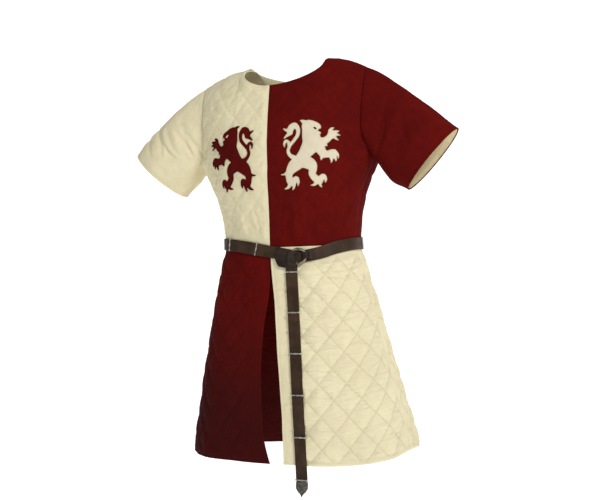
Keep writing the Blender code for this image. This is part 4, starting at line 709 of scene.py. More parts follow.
def sleeve_form(hand, front, back):
    """The sleeve goes round from the underarm seam by the front, and up from the cuff to the armhole."""
    end_on = np.array([[1.0]])
    climb = np.linspace(ARMPIT_SHARE, 1, ARMHOLE_STEPS)[None, :]
    hole = np.concatenate([front(end_on, climb)[0], back(end_on, climb)[0][::-1][1:]])
    walk = walked(hole, 0)
    own = SLEEVES[hand]
    cuff_top, cuff_bottom = np.array(own["cuff_top"]), np.array(own["cuff_bottom"])
    cuff_middle = (cuff_top + cuff_bottom) / 2

    def on_armhole(share):
        return np.stack([np.interp(share * walk[-1], walk, hole[:, k]) for k in range(3)], axis=-1)

    armhole_middle = on_armhole(np.linspace(0, 1, 61)).mean(axis=0)

    def form(p, q):
        p, t = p[:, 0], 1 - q[0]
        front_share = walk[ARMHOLE_STEPS - 1] / walk[-1]
        share = np.where(p < 0.5, p * 2 * front_share, front_share + (p - 0.5) * 2 * (1 - front_share))
        start = on_armhole(share)
        turn = 2 * math.pi * p
        forward = np.array([own["cuff_outward"] * hand, -own["cuff_forward"], 0])
        end = (cuff_middle - np.cos(turn)[:, None] * (cuff_top - cuff_bottom) / 2
               + np.sin(turn)[:, None] * forward)
        height = (1 - np.cos(turn)) / 2
        fall = np.radians(lerp(own["fall_at_armpit"], own["fall_at_shoulder"], height))
        leave = np.stack([hand * np.cos(fall), np.zeros_like(p), -np.sin(fall)], axis=-1)
        fall = math.radians(own["fall_at_cuff"])
        arrive = unit(np.array([hand * math.cos(fall), CUFF_SWEEP, -math.sin(fall)]))
        chord = np.linalg.norm(end - start, axis=1)[:, None]
        a, b = start[:, None], end[:, None]
        leave, arrive = (leave * chord)[:, None], (arrive * chord)[:, None]
        u = t[None, :, None]
        out = ((1 + 2 * u) * (1 - u) ** 2 * a + u * (1 - u) ** 2 * leave
               + u * u * (3 - 2 * u) * b + u * u * (u - 1) * arrive)
        out[..., 2] -= UNDERARM_SAG[hand] * bump(height, 0.0, 0.55)[:, None] * bump(t, 0.56, 0.42)[None, :]
        push = np.zeros(out.shape[:2])
        for centre, half_width, depth in SLEEVE_FOLDS:
            push = push + depth * bump(t, centre, half_width)[None, :] * bump(height, 0.62, 0.5)[:, None]
        centre_line = lerp(armhole_middle[None, :], cuff_middle[None, :], t[:, None])[None]
        return out + unit(out - centre_line) * push[..., None]
    return form


# as for the skirts, but up from the waist; the sleeves' go round from the underarm seam by the front, and up
# from the cuff
UPPER_CREASES = {
    "front_left": (
        (30, 26, 38, 108, 9, -2.0, 4), (64, 24, 60, 92, 9, 1.7, -4), (92, 22, 96, 120, 10, -2.0, 5),
        (140, 24, 156, 96, 11, -1.5, -4), (186, 34, 214, 110, 12, 1.4, 4), (222, 196, 160, 178, 15, -1.8, -6),
        (232, 180, 186, 130, 14, 1.4, 5), (196, 330, 130, 262, 17, -1.2, 8), (180, 372, 150, 320, 14, 1.1, 4),
    ),
    "front_right": (
        (26, 30, 40, 88, 8, -1.6, 3), (58, 20, 76, 74, 9, 1.6, -3), (92, 22, 104, 70, 8, -1.8, 3),
        (122, 20, 150, 62, 9, 1.5, 4), (168, 26, 186, 84, 10, -1.7, -4), (206, 30, 222, 76, 9, 1.3, 3),
        (196, 372, 128, 336, 14, -1.9, -7), (186, 330, 118, 312, 13, -1.5, 6),
        (178, 398, 130, 376, 12, 1.3, 5), (222, 190, 170, 150, 15, -1.6, 6), (60, 140, 130, 96, 16, -1.1, 6),
    ),
    "back_left": (
        (40, 30, 52, 130, 10, -1.8, 4), (96, 28, 110, 118, 11, 1.6, -4), (160, 30, 182, 104, 12, -1.7, 5),
        (230, 170, 150, 196, 16, -1.7, 8), (222, 220, 136, 262, 16, 1.3, -7), (60, 400, 40, 300, 18, -1.2, 5),
    ),
    "back_right": (
        (30, 28, 44, 110, 11, 1.5, -4), (84, 30, 90, 126, 10, -1.8, 4), (150, 28, 176, 112, 12, -1.6, -5),
        (214, 150, 140, 190, 16, -1.6, 7), (226, 232, 150, 250, 15, -1.3, -6), (90, 396, 66, 280, 17, 1.2, 6),
    ),
    "sleeve_left": (
        (250, 30, 262, 150, 12, -2.8, 5), (214, 20, 226, 128, 12, 2.3, -5), (180, 24, 186, 120, 11, -2.5, 4),
        (120, 60, 176, 128, 14, -2.2, 6), (60, 110, 130, 142, 13, -2.4, -5),
        (330, 34, 322, 140, 13, -2.2, -5), (400, 30, 384, 120, 14, 1.8, 5),
    ),
    "sleeve_right": (
        (240, 40, 232, 160, 13, -2.4, -5), (200, 30, 206, 120, 11, 2.1, 4), (120, 56, 206, 92, 11, -3.6, 5),
        (90, 84, 190, 110, 12, 3.4, -6), (70, 112, 160, 128, 11, -4.0, 5), (40, 130, 120, 150, 12, -3.4, -5),
        (150, 36, 230, 60, 11, -2.5, 5), (320, 40, 330, 150, 14, -2.2, 5), (400, 36, 380, 120, 13, 1.9, -5),
    ),
}
six = []
for hand, word in ((1, "left"), (-1, "right")):
    forms = {side: upper_form(side, hand) for side in ("front", "back")}
    for side in ("front", "back"):
        panel = Panel(f"quilted_{side}_{word}", forms[side], (0.0, 0.0, 0.0, 0.0),
                      UPPER_PADDING[hand], creases=UPPER_CREASES[f"{side}_{word}"])
        # the top edge is free along the neck, and a seam along the shoulder
        panel.free[3] = 1 - eased(panel.p, NECK_SHARE - 0.004, NECK_SHARE + 0.004)
        panel.face_outwards(UPPER_INSIDE)
        panel.normals[0, :, 0] = 0.0
        panel.normals[0] = unit(panel.normals[0])
        six.append((f"{side}_{word}", hand, panel))
    panel = Panel(f"set_in_sleeve_{word}", sleeve_form(hand, forms["front"], forms["back"]),
                  (0.0, 0.0, 1.0, 0.0), 0.0, creases=UPPER_CREASES[f"sleeve_{word}"])
    panel.face_outwards(SLEEVE_INSIDE * (hand, 1, 1))
    six.append((f"sleeve_{word}", hand, panel))

SEAM_REACH, SEAM_MATCH = 8.0, 2.5      # how far a seam turns the cloth, and how near counts as one place
places = np.concatenate([rim(panel.base) for _, _, panel in six])
directions = np.concatenate([rim(panel.normals) for _, _, panel in six])
for key, hand, panel in six:
    n, m = panel.base.shape[:2]
    shared = {}
    for edge, cells in (("inner", (0, slice(None))), ("outer", (n - 1, slice(None))),
                        ("low", (slice(None), 0)), ("top", (slice(None), m - 1))):
        here = panel.base[cells]
        weight = bell(np.linalg.norm(here[:, None] - places[None], axis=-1), SEAM_MATCH)
        shared[edge] = unit(weight @ directions)
    soft = [bell(distance, SEAM_REACH) for distance in panel.edge_distances()]
    turned = (panel.normals * (1 - np.maximum.reduce(soft))[..., None]
              + sum(w[..., None] * (shared[edge][None, :] if k < 2 else shared[edge][:, None])
                    for k, (w, edge) in enumerate(zip(soft, ("inner", "outer", "low", "top")))))
    panel.normals = unit(turned)
    panel.shape()
    panels[key] = panel
    piece = sewn_cloth(panel, red_linen if hand > 0 else cream_linen)
    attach(piece, "root")
    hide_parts(key)

# The lining of the left cuff: a plain cotton facing that is turned in at the cuff's edge and felled a little
# inside it. It shows as a narrow pale strip inside the red sleeve.
LINING_EDGE, LINING_REACH, LINING_ROWS, LINING_CLOTH = 2.2, 0.32, 40, 1.0
LINING_GAP_AT_EDGE, LINING_GAP, LINING_RIPPLE = 0.9, 2.6, 0.5
cotton = linen("cuff_cotton", (0.80, 0.70, 0.45, 1), (0.72, 0.62, 0.38, 1), 0.0, 0.1, 0.4, quilted=False)
sleeve = panels["sleeve_left"]
lined_heights = np.linspace(LINING_EDGE, sleeve.up[:, -1].mean() * LINING_REACH, LINING_ROWS)
around = np.arange(len(sleeve.p) - 1, dtype=float)
lining_rings = []
for depth in (0.0, LINING_CLOTH):
    for height in lined_heights:
        up = np.array([np.interp(height, column, np.arange(len(column))) for column in sleeve.up[:-1]])
        away = lerp(LINING_GAP_AT_EDGE, LINING_GAP, eased(height, 3.0, 22.0)) + depth
        ripple = LINING_RIPPLE * np.sin(around / 7.0 + height / 19.0) * eased(height, 6.0, 30.0)
        lining_rings.append(read(sleeve.inner, around, up)
                            - read(sleeve.normals, around, up) * (away + ripple)[:, None])
number = np.arange(2 * LINING_ROWS * len(around)).reshape(2, LINING_ROWS, len(around))
number = np.pad(number, ((0, 0), (0, 0), (0, 1)), mode="wrap")
faces = quads(number[0].T) + quads(number[1].T, True) + quads(number[:, 0]) + quads(number[:, -1], True)
walk_round = walked(lining_rings[0], 0)
flat = np.array([(along, height) for height in lined_heights for along in walk_round] * 2)
lining = finished("cuff_lining", np.array(lining_rings), faces, cotton, 50, flat)
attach(lining, "root")
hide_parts("cuff_lining_left")

# The lions: one on each breast, a traditional beast of heraldry that stands on one leg and faces outwards.
# Each is cut from one piece of linen in the colour of the other breast, laid flat and closely stitched down.

# the middle of each, across from the front middle and up from the waist
LION_PLACES = {"left": (104.5, 217.0), "right": (96.0, 220.0)}
LION_CLOTH, LION_LIFT, BRIDGED = 0.9, 0.35, 0.45      # BRIDGED: how much of a quilted hollow the cloth spans
LION_GRID, LION_MARGIN, LION_EDGE_STEP, LION_STEP = 1.0, 24, 1.25, 2.6
# Rows of places with the half width there, from the lion's middle
LION_STROKES = {
    "body": ((3, 58, 18), (6, 44, 21), (8, 24, 22), (-3, 6, 17), (-14, -8, 13.5), (-22, -20, 15)),
    "skull": ((3, 62, 19), (11, 67, 14), (20, 69, 9), (25, 68.5, 6)),
    "jaw": ((12, 55, 10), (21, 52, 5.5), (26, 52.5, 3.6)),
    "mane_point": ((-6, 70, 8), (-13, 75, 4), (-20, 77, 1)),
    "raised_arm": ((25, 28, 12), (39, 34, 9), (48, 44, 7.5), (55, 54, 9.5)),
    "raised_elbow": ((36, 24, 7), (42, 16, 1)),
    "raised_claw_1": ((51, 60, 5), (54, 67, 3.2), (60, 71, 1)),
    "raised_claw_2": ((58, 58, 5.5), (65, 62, 3.2), (71, 64, 1)),
    "raised_claw_3": ((60, 53, 5), (67, 54, 3.0), (73, 53, 1)),
    "raised_spur": ((58, 48, 5), (63, 42, 2.8), (68, 38, 1)),
    "low_arm": ((24, 14, 13), (33, -2, 9.5), (44, -4, 8), (54, -3, 10)),
    "low_elbow": ((31, -7, 6), (27, -17, 1)),
    "low_claw_1": ((58, 1, 6), (65, -5, 3.4), (66, -13, 1)),
    "low_claw_2": ((56, -8, 5), (60, -14, 3.0), (60, -20, 1)),
    "low_claw_3": ((50, -9, 5), (51, -17, 3.0), (49, -24, 1)),
    "front_leg": ((-14, -20, 15), (2, -27, 14), (8, -37, 9.5), (6, -51, 8), (14, -62, 8.5), (22, -66, 8)),
    "front_toe_1": ((24, -62, 6.5), (30, -57, 6.5), (35, -63, 3.6), (34, -71, 1)),
    "front_toe_2": ((22, -69, 5), (22, -76, 3.2), (25, -82, 1)),
    "front_toe_3": ((16, -69, 5), (9, -75, 3.0), (1, -77, 1)),
    "back_leg": ((-23, -21, 16), (-36, -31, 14.5), (-45, -43, 10), (-48, -55, 8), (-45, -67, 8.5),
                 (-38, -69, 7)),
    "heel_spur": ((-49, -46, 6), (-58, -49, 2.6), (-67, -50, 1)),
    "back_toe_1": ((-38, -66, 6), (-31, -61, 6), (-27, -68, 3.4), (-28, -77, 1)),
    "back_toe_2": ((-38, -72, 5), (-38, -79, 3.2), (-41, -86, 1)),
    "back_toe_3": ((-46, -73, 5), (-52, -80, 3.0), (-60, -83, 1)),
    "tail": ((-33, -13, 6), (-44, -6, 4.6), (-49, 4, 4.0), (-45, 17, 3.8), (-35, 29, 3.8), (-26, 42, 4.2),
             (-25, 56, 5.2), (-32, 65, 6.5), (-41, 60, 8), (-45, 50, 7)),
    "tail_tuft_1": ((-45, 55, 6), (-53, 54, 3.2), (-61, 58, 1)),
    "tail_tuft_2": ((-43, 48, 6), (-51, 42, 3.4), (-59, 35, 1)),
    "tail_hook": ((-46, 15, 4.0), (-48, 26, 3.6), (-54, 29, 3.4), (-58, 23, 2.8), (-58, 15, 1)),
}
EYE_PLACE, EYE_SIZE, EYE_TILT, EYE_CLOTH, EYE_STEP = (16.0, 63.5), (11.5, 6.6), math.radians(-24), 0.45, 1.2
ROW_PITCH, CLEAR_OF_EDGE, ROLLED_HEIGHT, ROLLED_REACH = 0.87, 0.45, 0.35, 2.2


def smooth_through(rows, steps=6):
    """A smooth curve through a row of places and whatever they carry."""
    rows = np.array(rows, float)
    rows = np.vstack([2 * rows[0] - rows[1], rows, 2 * rows[-1] - rows[-2]])
    t = np.linspace(0, 1, steps, endpoint=False)[:, None]
    runs = []
    for a, b, c, d in zip(rows, rows[1:], rows[2:], rows[3:]):
        runs.append(0.5 * (2 * b + (c - a) * t + (2 * a - 5 * b + 4 * c - d) * t ** 2
                           + (3 * b - a - 3 * c + d) * t ** 3))
    return np.vstack(runs + [rows[-2:-1]])


def outside_lion(x, y):
    """How far a place lies outside the lion: below zero within it."""
    field = np.full(x.shape, np.inf)
    for stroke in LION_STROKES.values():
        line = smooth_through(stroke)
        for (ax, ay, ar), (bx, by, br) in zip(line, line[1:]):
            length = max((bx - ax) ** 2 + (by - ay) ** 2, 1e-9)
            t = np.clip(((x - ax) * (bx - ax) + (y - ay) * (by - ay)) / length, 0, 1)
            field = np.minimum(field, np.hypot(x - lerp(ax, bx, t), y - lerp(ay, by, t)) - lerp(ar, br, t))
    return field


def edge_of(field, xs, ys):
    """The longest closed line along which a field on a grid is zero."""
    crossing, links = {}, {}

    def cross(i, j, k, m):
        a, b = field[i, j], field[k, m]
        if (a < 0) == (b < 0):
            return None
        t = a / (a - b)
        crossing[(i, j, k, m)] = (lerp(xs[i], xs[k], t), lerp(ys[j], ys[m], t))
        return (i, j, k, m)

    for i in range(len(xs) - 1):
        for j in range(len(ys) - 1):
            low, high = field[i:i + 2, j:j + 2].min(), field[i:i + 2, j:j + 2].max()
            if low >= 0 or high < 0:
                continue
            met = [side for side in (cross(i, j, i + 1, j), cross(i + 1, j, i + 1, j + 1),
                                     cross(i, j + 1, i + 1, j + 1), cross(i, j, i, j + 1)) if side]
            for a, b in zip(met[::2], met[1::2]):
                links.setdefault(a, []).append(b)
                links.setdefault(b, []).append(a)
    loops, left = [], set(links)
    while left:
        here, loop = min(left), []
        while here is not None:
            left.discard(here)
            loop.append(crossing[here])
            here = next((k for k in links[here] if k in left), None)
        loops.append(np.array(loop))
    return max(loops, key=len)


def evenly(loop, step):
    """A closed line with its points set evenly, about a step apart."""
    closed = np.vstack([loop, loop[:1]])
    walk = walked(closed, 0)
    at = np.linspace(0, walk[-1], int(walk[-1] / step), endpoint=False)
    return np.stack([np.interp(at, walk, closed[:, k]) for k in (0, 1)], axis=1)


def within(points, loop):
    crossings = np.zeros(len(points), int)
    for a, b in zip(loop, np.roll(loop, -1, axis=0)):
        spans = (a[1] > points[:, 1]) != (b[1] > points[:, 1])
        if a[1] != b[1]:
            crossings += spans & (points[:, 0] < a[0] + (points[:, 1] - a[1]) / (b[1] - a[1]) * (b[0] - a[0]))
    return crossings % 2 == 1


def laid_on(panel, flat, lift):
    """Where places of the flat cloth are in space, at a height above the panel, and which way they face."""
    i, j, _ = panel.place(flat)
    facing = unit(read(panel.normals, i, j))
    bridged = BRIDGED * (read(panel.full, i, j) - read(panel.stand, i, j))
    return read(panel.outer, i, j) + facing * (bridged + lift)[:, None], facing


def cut_shape(name, panel, outline, step, lift, thickness, finish):
    """A flat shape of thin cloth laid on a panel: closed, with its edge rolled down."""
    (left, low), (right, high) = outline.min(axis=0), outline.max(axis=0)
    grid = np.array([(x + (step / 2 if n % 2 else 0), y)
                     for n, y in enumerate(np.arange(low, high, step * ROW_PITCH))
                     for x in np.arange(left, right, step)])
    grid = grid[within(grid, outline)]
    clear = np.array([np.hypot(*(outline - place).T).min() for place in grid])
    kept = clear > step * CLEAR_OF_EDGE
    flat = np.concatenate([outline, grid[kept]])
    size, edge = len(flat), len(outline)
    round_it = [(k, (k + 1) % edge) for k in range(edge)]
    _, _, faces, origin, _, _ = delaunay_2d_cdt([Vector(v) for v in flat], round_it, [], 0, 1e-4, True)
    faces = np.array([first[0] for first in origin])[np.array(faces)]
    faces = faces[within(flat[faces].mean(axis=1), outline)]
    roll = np.concatenate([np.full(edge, ROLLED_HEIGHT), np.sqrt(np.clip(clear[kept] / ROLLED_REACH, 0, 1))])
    under, _ = laid_on(panel, flat, np.full(size, lift))
    top, _ = laid_on(panel, flat, lift + thickness * roll)
    solid = (faces + size).tolist() + faces[:, ::-1].tolist()
    solid += [[a, b, b + size, a + size] for a, b in round_it]
    return finished(name, np.concatenate([under, top]), solid, finish, 60, np.concatenate([flat, flat]))


lion_points = np.vstack([smooth_through(stroke) for stroke in LION_STROKES.values()])
xs, ys = (np.arange(lion_points[:, k].min() - LION_MARGIN, lion_points[:, k].max() + LION_MARGIN, LION_GRID)
          for k in (0, 1))
lion_edge = evenly(edge_of(outside_lion(*np.meshgrid(xs, ys, indexing="ij")), xs, ys), LION_EDGE_STEP)
eye_turn = np.linspace(0, 2 * math.pi, 28, endpoint=False)
eye_x = EYE_SIZE[0] / 2 * np.cos(eye_turn)
eye_y = EYE_SIZE[1] / 2 * np.sin(eye_turn) * np.abs(np.sin(eye_turn)) ** 0.7
eye_edge = np.stack([EYE_PLACE[0] + eye_x * math.cos(EYE_TILT) - eye_y * math.sin(EYE_TILT),
                     EYE_PLACE[1] + eye_x * math.sin(EYE_TILT) + eye_y * math.cos(EYE_TILT)], axis=1)
lion_cream = linen("lion_cream_linen", (0.67, 0.60, 0.45, 1), (0.61, 0.54, 0.39, 1), 0.02, 0.15, 0.4,
                   quilted=False)
lion_red = linen("lion_red_linen", (0.092, 0.0036, 0.0026, 1), (0.07, 0.003, 0.0024, 1), 0.0, 0.05, 0.4,
                 quilted=False)
eye_dark = linen("lion_eye_dark", (0.03, 0.003, 0.002, 1), (0.02, 0.002, 0.002, 1), 0.0, 0.05, 0.2,
                 quilted=False)
for word, finish, eye_finish, slot, eye_slot in (
        ("left", lion_cream, eye_dark, "cream_applique", "red_applique"),
        ("right", lion_red, lion_cream, "red_applique", "cream_applique")):
    panel = panels[f"front_{word}"]
    lion = cut_shape(f"lion_of_the_{word}_breast", panel, lion_edge + LION_PLACES[word], LION_STEP, LION_LIFT,
                     LION_CLOTH, finish)
    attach(lion, "root")
    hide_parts(f"lion_{word}")
    eye = cut_shape(f"lion_eye_{word}", panel, eye_edge + LION_PLACES[word], EYE_STEP,
                    LION_LIFT + LION_CLOTH * 0.7, EYE_CLOTH, eye_finish)
    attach(eye, "root")

# The sewing: running stitches of doubled linen thread in the cloth's own colour. They hold the padding in its
# diamonds, run beside each hem and free edge, and close stitches cover the lions' cut edges.
STITCH_SIZE, STITCH_PITCH, STITCHES_IN_FROM_EDGE, STITCH_LIFT = (2.8, 0.75, 0.5), 4.3, 6.0, 0.12
CLOSE_STITCH_SIZE, CLOSE_STITCH_PITCH, CLOSE_STITCH_INSET = (0.8, 2.3, 0.55), 0.85, 0.7
RUN_STEP, LION_RUN_STEP = 5.0, 2.0     # between the places of a row of stitches that are read off the cloth


def small_shape(name, size):
    """One stitch, as a slim rounded lozenge."""
    mesh = bpy.data.meshes.new(name)
    made = bmesh.new()
    bmesh.ops.create_uvsphere(made, u_segments=6, v_segments=2, radius=0.5)
    bmesh.ops.scale(made, vec=Vector(size) * MM, verts=made.verts)
    made.to_mesh(mesh)
    made.free()
    mesh.polygons.foreach_set("use_smooth", [True] * len(mesh.polygons))
    return linked(name, mesh)


def row_tree(name, along_paths):
    """Sets one small shape in rows: at a pitch along paths, or on points that say which way they run."""
    tree = bpy.data.node_groups.new(name, "GeometryNodeTree")
    sockets = {}
    kinds = {"Rows": "Geometry", "Shape": "Object", "Pitch": "Float", "Finish": "Material"}
    for label, kind in kinds.items():
        sockets[label] = tree.interface.new_socket(name=label, in_out="INPUT",
                                                   socket_type=f"NodeSocket{kind}").identifier
    tree.interface.new_socket(name="Set", in_out="OUTPUT", socket_type="NodeSocketGeometry")

    start = wired(tree, "NodeGroupInput")
    shape = wired(tree, "GeometryNodeObjectInfo", Object=start.outputs["Shape"])
    rows = start.outputs["Rows"]
    ahead, facing = (wired(tree, "GeometryNodeInputNamedAttribute", [("data_type", "FLOAT_VECTOR")],
                           Name=label).outputs[0] for label in ("ahead", "facing"))
    if along_paths:
        path = wired(tree, "GeometryNodeMeshToCurve", Mesh=rows)
        rows = wired(tree, "GeometryNodeResampleCurve", [("mode", "LENGTH")], Curve=path.outputs[0],
                     Length=start.outputs["Pitch"]).outputs[0]
        ahead = wired(tree, "GeometryNodeInputTangent").outputs[0]
    turned = wired(tree, "FunctionNodeAlignRotationToVector", [("axis", "X")], Vector=ahead)
    turned = wired(tree, "FunctionNodeAlignRotationToVector", [("axis", "Z"), ("pivot_axis", "X")],
                   Rotation=turned.outputs[0], Vector=facing)
    stood = wired(tree, "GeometryNodeInstanceOnPoints", Points=rows, Instance=shape.outputs["Geometry"],
                  Rotation=turned.outputs[0])
    real = wired(tree, "GeometryNodeRealizeInstances", Geometry=stood.outputs[0])
    coloured = wired(tree, "GeometryNodeSetMaterial", Geometry=real.outputs[0],
                     Material=start.outputs["Finish"])
    wired(tree, "NodeGroupOutput", _0=coloured.outputs[0])
    return tree, sockets


def in_rows(name, rows, vectors, tree_and_sockets, shape, pitch, finish):
    """The plain mesh of a shape set along rows: points in millimetres, and the edges between them."""
    points, edges = rows
    mesh = bpy.data.meshes.new(f"{name}_rows")
    mesh.from_pydata((points * MM).tolist(), edges, [])
    for label, values in vectors.items():
        data = mesh.attributes.new(label, "FLOAT_VECTOR", "POINT").data
        data.foreach_set("vector", np.asarray(values, np.float32).ravel())
    holder = linked(f"{name}_rows", mesh)
    tree, sockets = tree_and_sockets
    setter = holder.modifiers.new("rows", "NODES")
    setter.node_group = tree
    setter[sockets["Shape"]] = shape
    setter[sockets["Pitch"]] = pitch * MM
    setter[sockets["Finish"]] = finish
    seen = holder.evaluated_get(bpy.context.evaluated_depsgraph_get())
    plain = bpy.data.meshes.new_from_object(seen)
    plain.name = name
    bpy.data.objects.remove(holder)
    return linked(name, plain)


def quilting_runs(panel):
    """Places on the flat cloth along its sewn diamonds, and the number of the line that each is on."""
    wide, tall = panel.across.max(), panel.up.max()
    t = np.arange(4.0, tall, RUN_STEP)
    places, line = [], []
    for slope in (1, -1):
        for k in range(-int(tall / DIAMOND[1]) - 1, int(wide / DIAMOND[0] + tall / DIAMOND[1]) + 2):
            s = (k - slope * t / DIAMOND[1]) * DIAMOND[0]
            on = (s > 0) & (s < wide)
            places.append(np.stack([s[on], t[on]], axis=1))
            line.append(np.full(on.sum(), len(line)))
    return np.concatenate(places), np.concatenate(line)


def edge_runs(panel):
    """The i and j of rows of stitches beside each free edge, and beside the plain strip."""
    columns, rows = (np.arange(count, dtype=float) for count in (len(panel.p), len(panel.q)))
    inset, runs = STITCHES_IN_FROM_EDGE, []
    if panel.free[0].max() > 0:
        runs += [(np.array([np.interp(aside, walk, columns) for walk in panel.across.T]), rows)
                 for aside in (inset, panel.plain_strip)]
    if panel.free[2].max() > 0:
        runs.append((columns, np.array([np.interp(inset, walk, rows) for walk in panel.up])))
    if panel.free[3].max() > 0:
        on = int(np.argmin(panel.free[3] > 0.5))
        along_neck = np.array([np.interp(walk[-1] - inset, walk, rows) for walk in panel.up[:on]])
        runs.append((columns[:on], along_neck))
    return runs


def thread(name, colour, shine):
    work = Wiring(name, 0.85, specular=shine)
    twist = work.noise(2600.0, 1.0)
    darker = tuple(0.72 * c for c in colour[:3]) + (1,)
    tone = work.mix(work.ranged(twist, 0.35, 0.65), darker, colour)
    return work.done(tone, work.relief(twist, 0.0001, 0.5))


cream_thread = thread("cream_linen_thread", (0.72, 0.65, 0.44, 1), 0.2)
red_thread = thread("red_linen_thread", (0.092, 0.0034, 0.0024, 1), 0.03)
path_tree, point_tree = row_tree("stitches_along_a_path", True), row_tree("mounts_on_points", False)
stitch = small_shape("one_stitch", STITCH_SIZE)
close_stitch = small_shape("one_close_stitch", CLOSE_STITCH_SIZE)
for colour, finish, up, low in (("cream", cream_thread, "right", "left"),
                                ("red", red_thread, "left", "right")):
    keys = [f"{part}_{up}" for part in ("front", "back", "sleeve")]
    keys += [f"skirt_{side}_{low}" for side in ("front", "back")]
    points, facing, edges = [], [], []

    def add_run(panel, i, j, joined):
        start = sum(len(part) for part in points)
        outward = unit(read(panel.normals, i, j))
        points.append(read(panel.outer, i, j) + outward * STITCH_LIFT)
        facing.append(outward)
        edges.extend((start + k, start + k + 1) for k in np.flatnonzero(joined).tolist())

    for key in keys:
        panel = panels[key]
        if panel.padding:
            flat, line = quilting_runs(panel)
            i, j, held = panel.place(flat)
            held &= read(panel.quilted, i, j) > 0.3 * panel.padding
            add_run(panel, i, j, (line[1:] == line[:-1]) & held[1:] & held[:-1])
        for i, j in edge_runs(panel):
            add_run(panel, i, j, np.ones(len(i) - 1, bool))
    rows, facing = (np.concatenate(points), edges), {"facing": np.concatenate(facing)}
    stitches = in_rows(f"{colour}_sewing", rows, facing, path_tree, stitch, STITCH_PITCH, finish)
    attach(stitches, "root")
for word, finish, slot in (("left", cream_thread, "cream_applique"), ("right", red_thread, "red_applique")):
    run = evenly(lion_edge, LION_RUN_STEP)
    inward = np.roll(run, 1, axis=0) - np.roll(run, -1, axis=0)
    inward = unit(np.stack([-inward[:, 1], inward[:, 0]], axis=1))
    inside = within(run + inward, lion_edge)
    run = run + np.where(inside[:, None], inward, -inward) * CLOSE_STITCH_INSET
    place, facing = laid_on(panels[f"front_{word}"], run + LION_PLACES[word],
                            np.full(len(run), LION_LIFT + LION_CLOTH * 0.75))
    closed = [(k, (k + 1) % len(run)) for k in range(len(run))]
    stitches = in_rows(f"lion_edge_sewing_{word}", (place, closed), {"facing": facing}, path_tree,
                       close_stitch, CLOSE_STITCH_PITCH, finish)
    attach(stitches, "root")
bpy.data.objects.remove(stitch)
bpy.data.objects.remove(close_stitch)

# The strap: one length of dark brown leather, edges rounded and burnished, round the waist over the padding.
# Its sewn end is skived thinner and folded round the ring. Its other end is the knot and the hanging tail.
STRAP_WIDTH, STRAP_THICKNESS, STRAP_CLEAR = 28.0, 2.6, 1.8
STRAP_ROUNDING, STRAP_DISH = 0.9, 0.22         # of its edges, and how uneven its face is
BUCKLE_ANGLE, BUCKLE_RADIUS, BUCKLE_WIRE = 22.5, 17.0, 3.0
BAND_ENDS, RING_SWELL = (-3.0, -4.0), 2.6      # its two ends nearly meet behind the ring, where it swells out
BAND_FINE, BAND_STOPS = 14.0, (18, 256)        # closer stops from its end to here, and the two counts of them
LOOP_THICKNESS = 2.0
# distance from the buckle's middle, height over the strap, width
LOOP_PATH = ((36.0, 0.4, 25.0), (28.0, 0.5, 24.0), (23.4, 2.0, 20.0), (21.8, 5.0, 18.0), (19.2, 8.2, 17.0),
             (15.0, 8.9, 16.0), (11.4, 7.4, 16.0), (10.0, 4.4, 16.0), (9.4, 0.8, 16.0))
TAIL_TOP, TAIL_END, TAIL_LEAVES_SKIRT, TAIL_CLEAR = (63.0, -488.0), (104.0, -974.0), -925.0, 0.6
LAY_GAP, PADDING_BEGINS, PADDING_FULL, FULL_PADDING = 0.35, 16.0, 54.0, 3.0
SMALL_STEP = 0.5                               # for reading a direction off the cloth


def cloth_frame(angle, z):
    """A place on the inside of the cloth, and the directions along it, up it and out of it."""
    along = unit(body_point(angle + SMALL_STEP, z) - body_point(angle - SMALL_STEP, z))
    up = unit(body_point(angle, z + SMALL_STEP) - body_point(angle, z - SMALL_STEP))
    out = unit(np.cross(along, up))
    return body_point(angle, z), along, unit(np.cross(out, along)), out


def under_belt(angle):
    return body_point(wrapped(angle), belt_height(angle))


belt_angles = np.linspace(BUCKLE_ANGLE, BUCKLE_ANGLE + 360.0, 721)
belt_walk = walked(under_belt(belt_angles), 0)


def belt_frame(distance):
    """The outer face of the cloth under the belt and its directions, by the distance left of the buckle."""
    angle = np.interp(np.asarray(distance, float) % belt_walk[-1], belt_walk, belt_angles)
    here, _, _, out = cloth_frame(wrapped(angle), belt_height(angle))
    along = unit(under_belt(angle + SMALL_STEP) - under_belt(angle - SMALL_STEP))
    up = unit(np.cross(out, along))
    out = unit(np.cross(along, up))
    return here + out * CLOTH, along, up, out


def tail_frame(z):
    """The under face of the hanging strap at a height: its middle, and its directions along, up and out."""
    share = (np.asarray(z, float) - TAIL_TOP[1]) / (TAIL_END[1] - TAIL_TOP[1])
    x = lerp(TAIL_TOP[0], TAIL_END[0], share)
    on_skirt = np.maximum(z, TAIL_LEAVES_SKIRT)
    low, high = np.zeros_like(x), np.full_like(x, 60.0)
    for _ in range(30):
        angle = (low + high) / 2
        short = body_point(angle, on_skirt)[..., 0] < x
        low, high = np.where(short, angle, low), np.where(short, high, angle)
    here, along, up, out = cloth_frame(angle, on_skirt)
    pad = FULL_PADDING * eased(belt_height(angle) - on_skirt, PADDING_BEGINS, PADDING_FULL)
    here = here + out * (CLOTH + TAIL_CLEAR + pad)[:, None]
    here = here + up * (np.asarray(z, float) - on_skirt)[:, None]
    return here, along, up, out


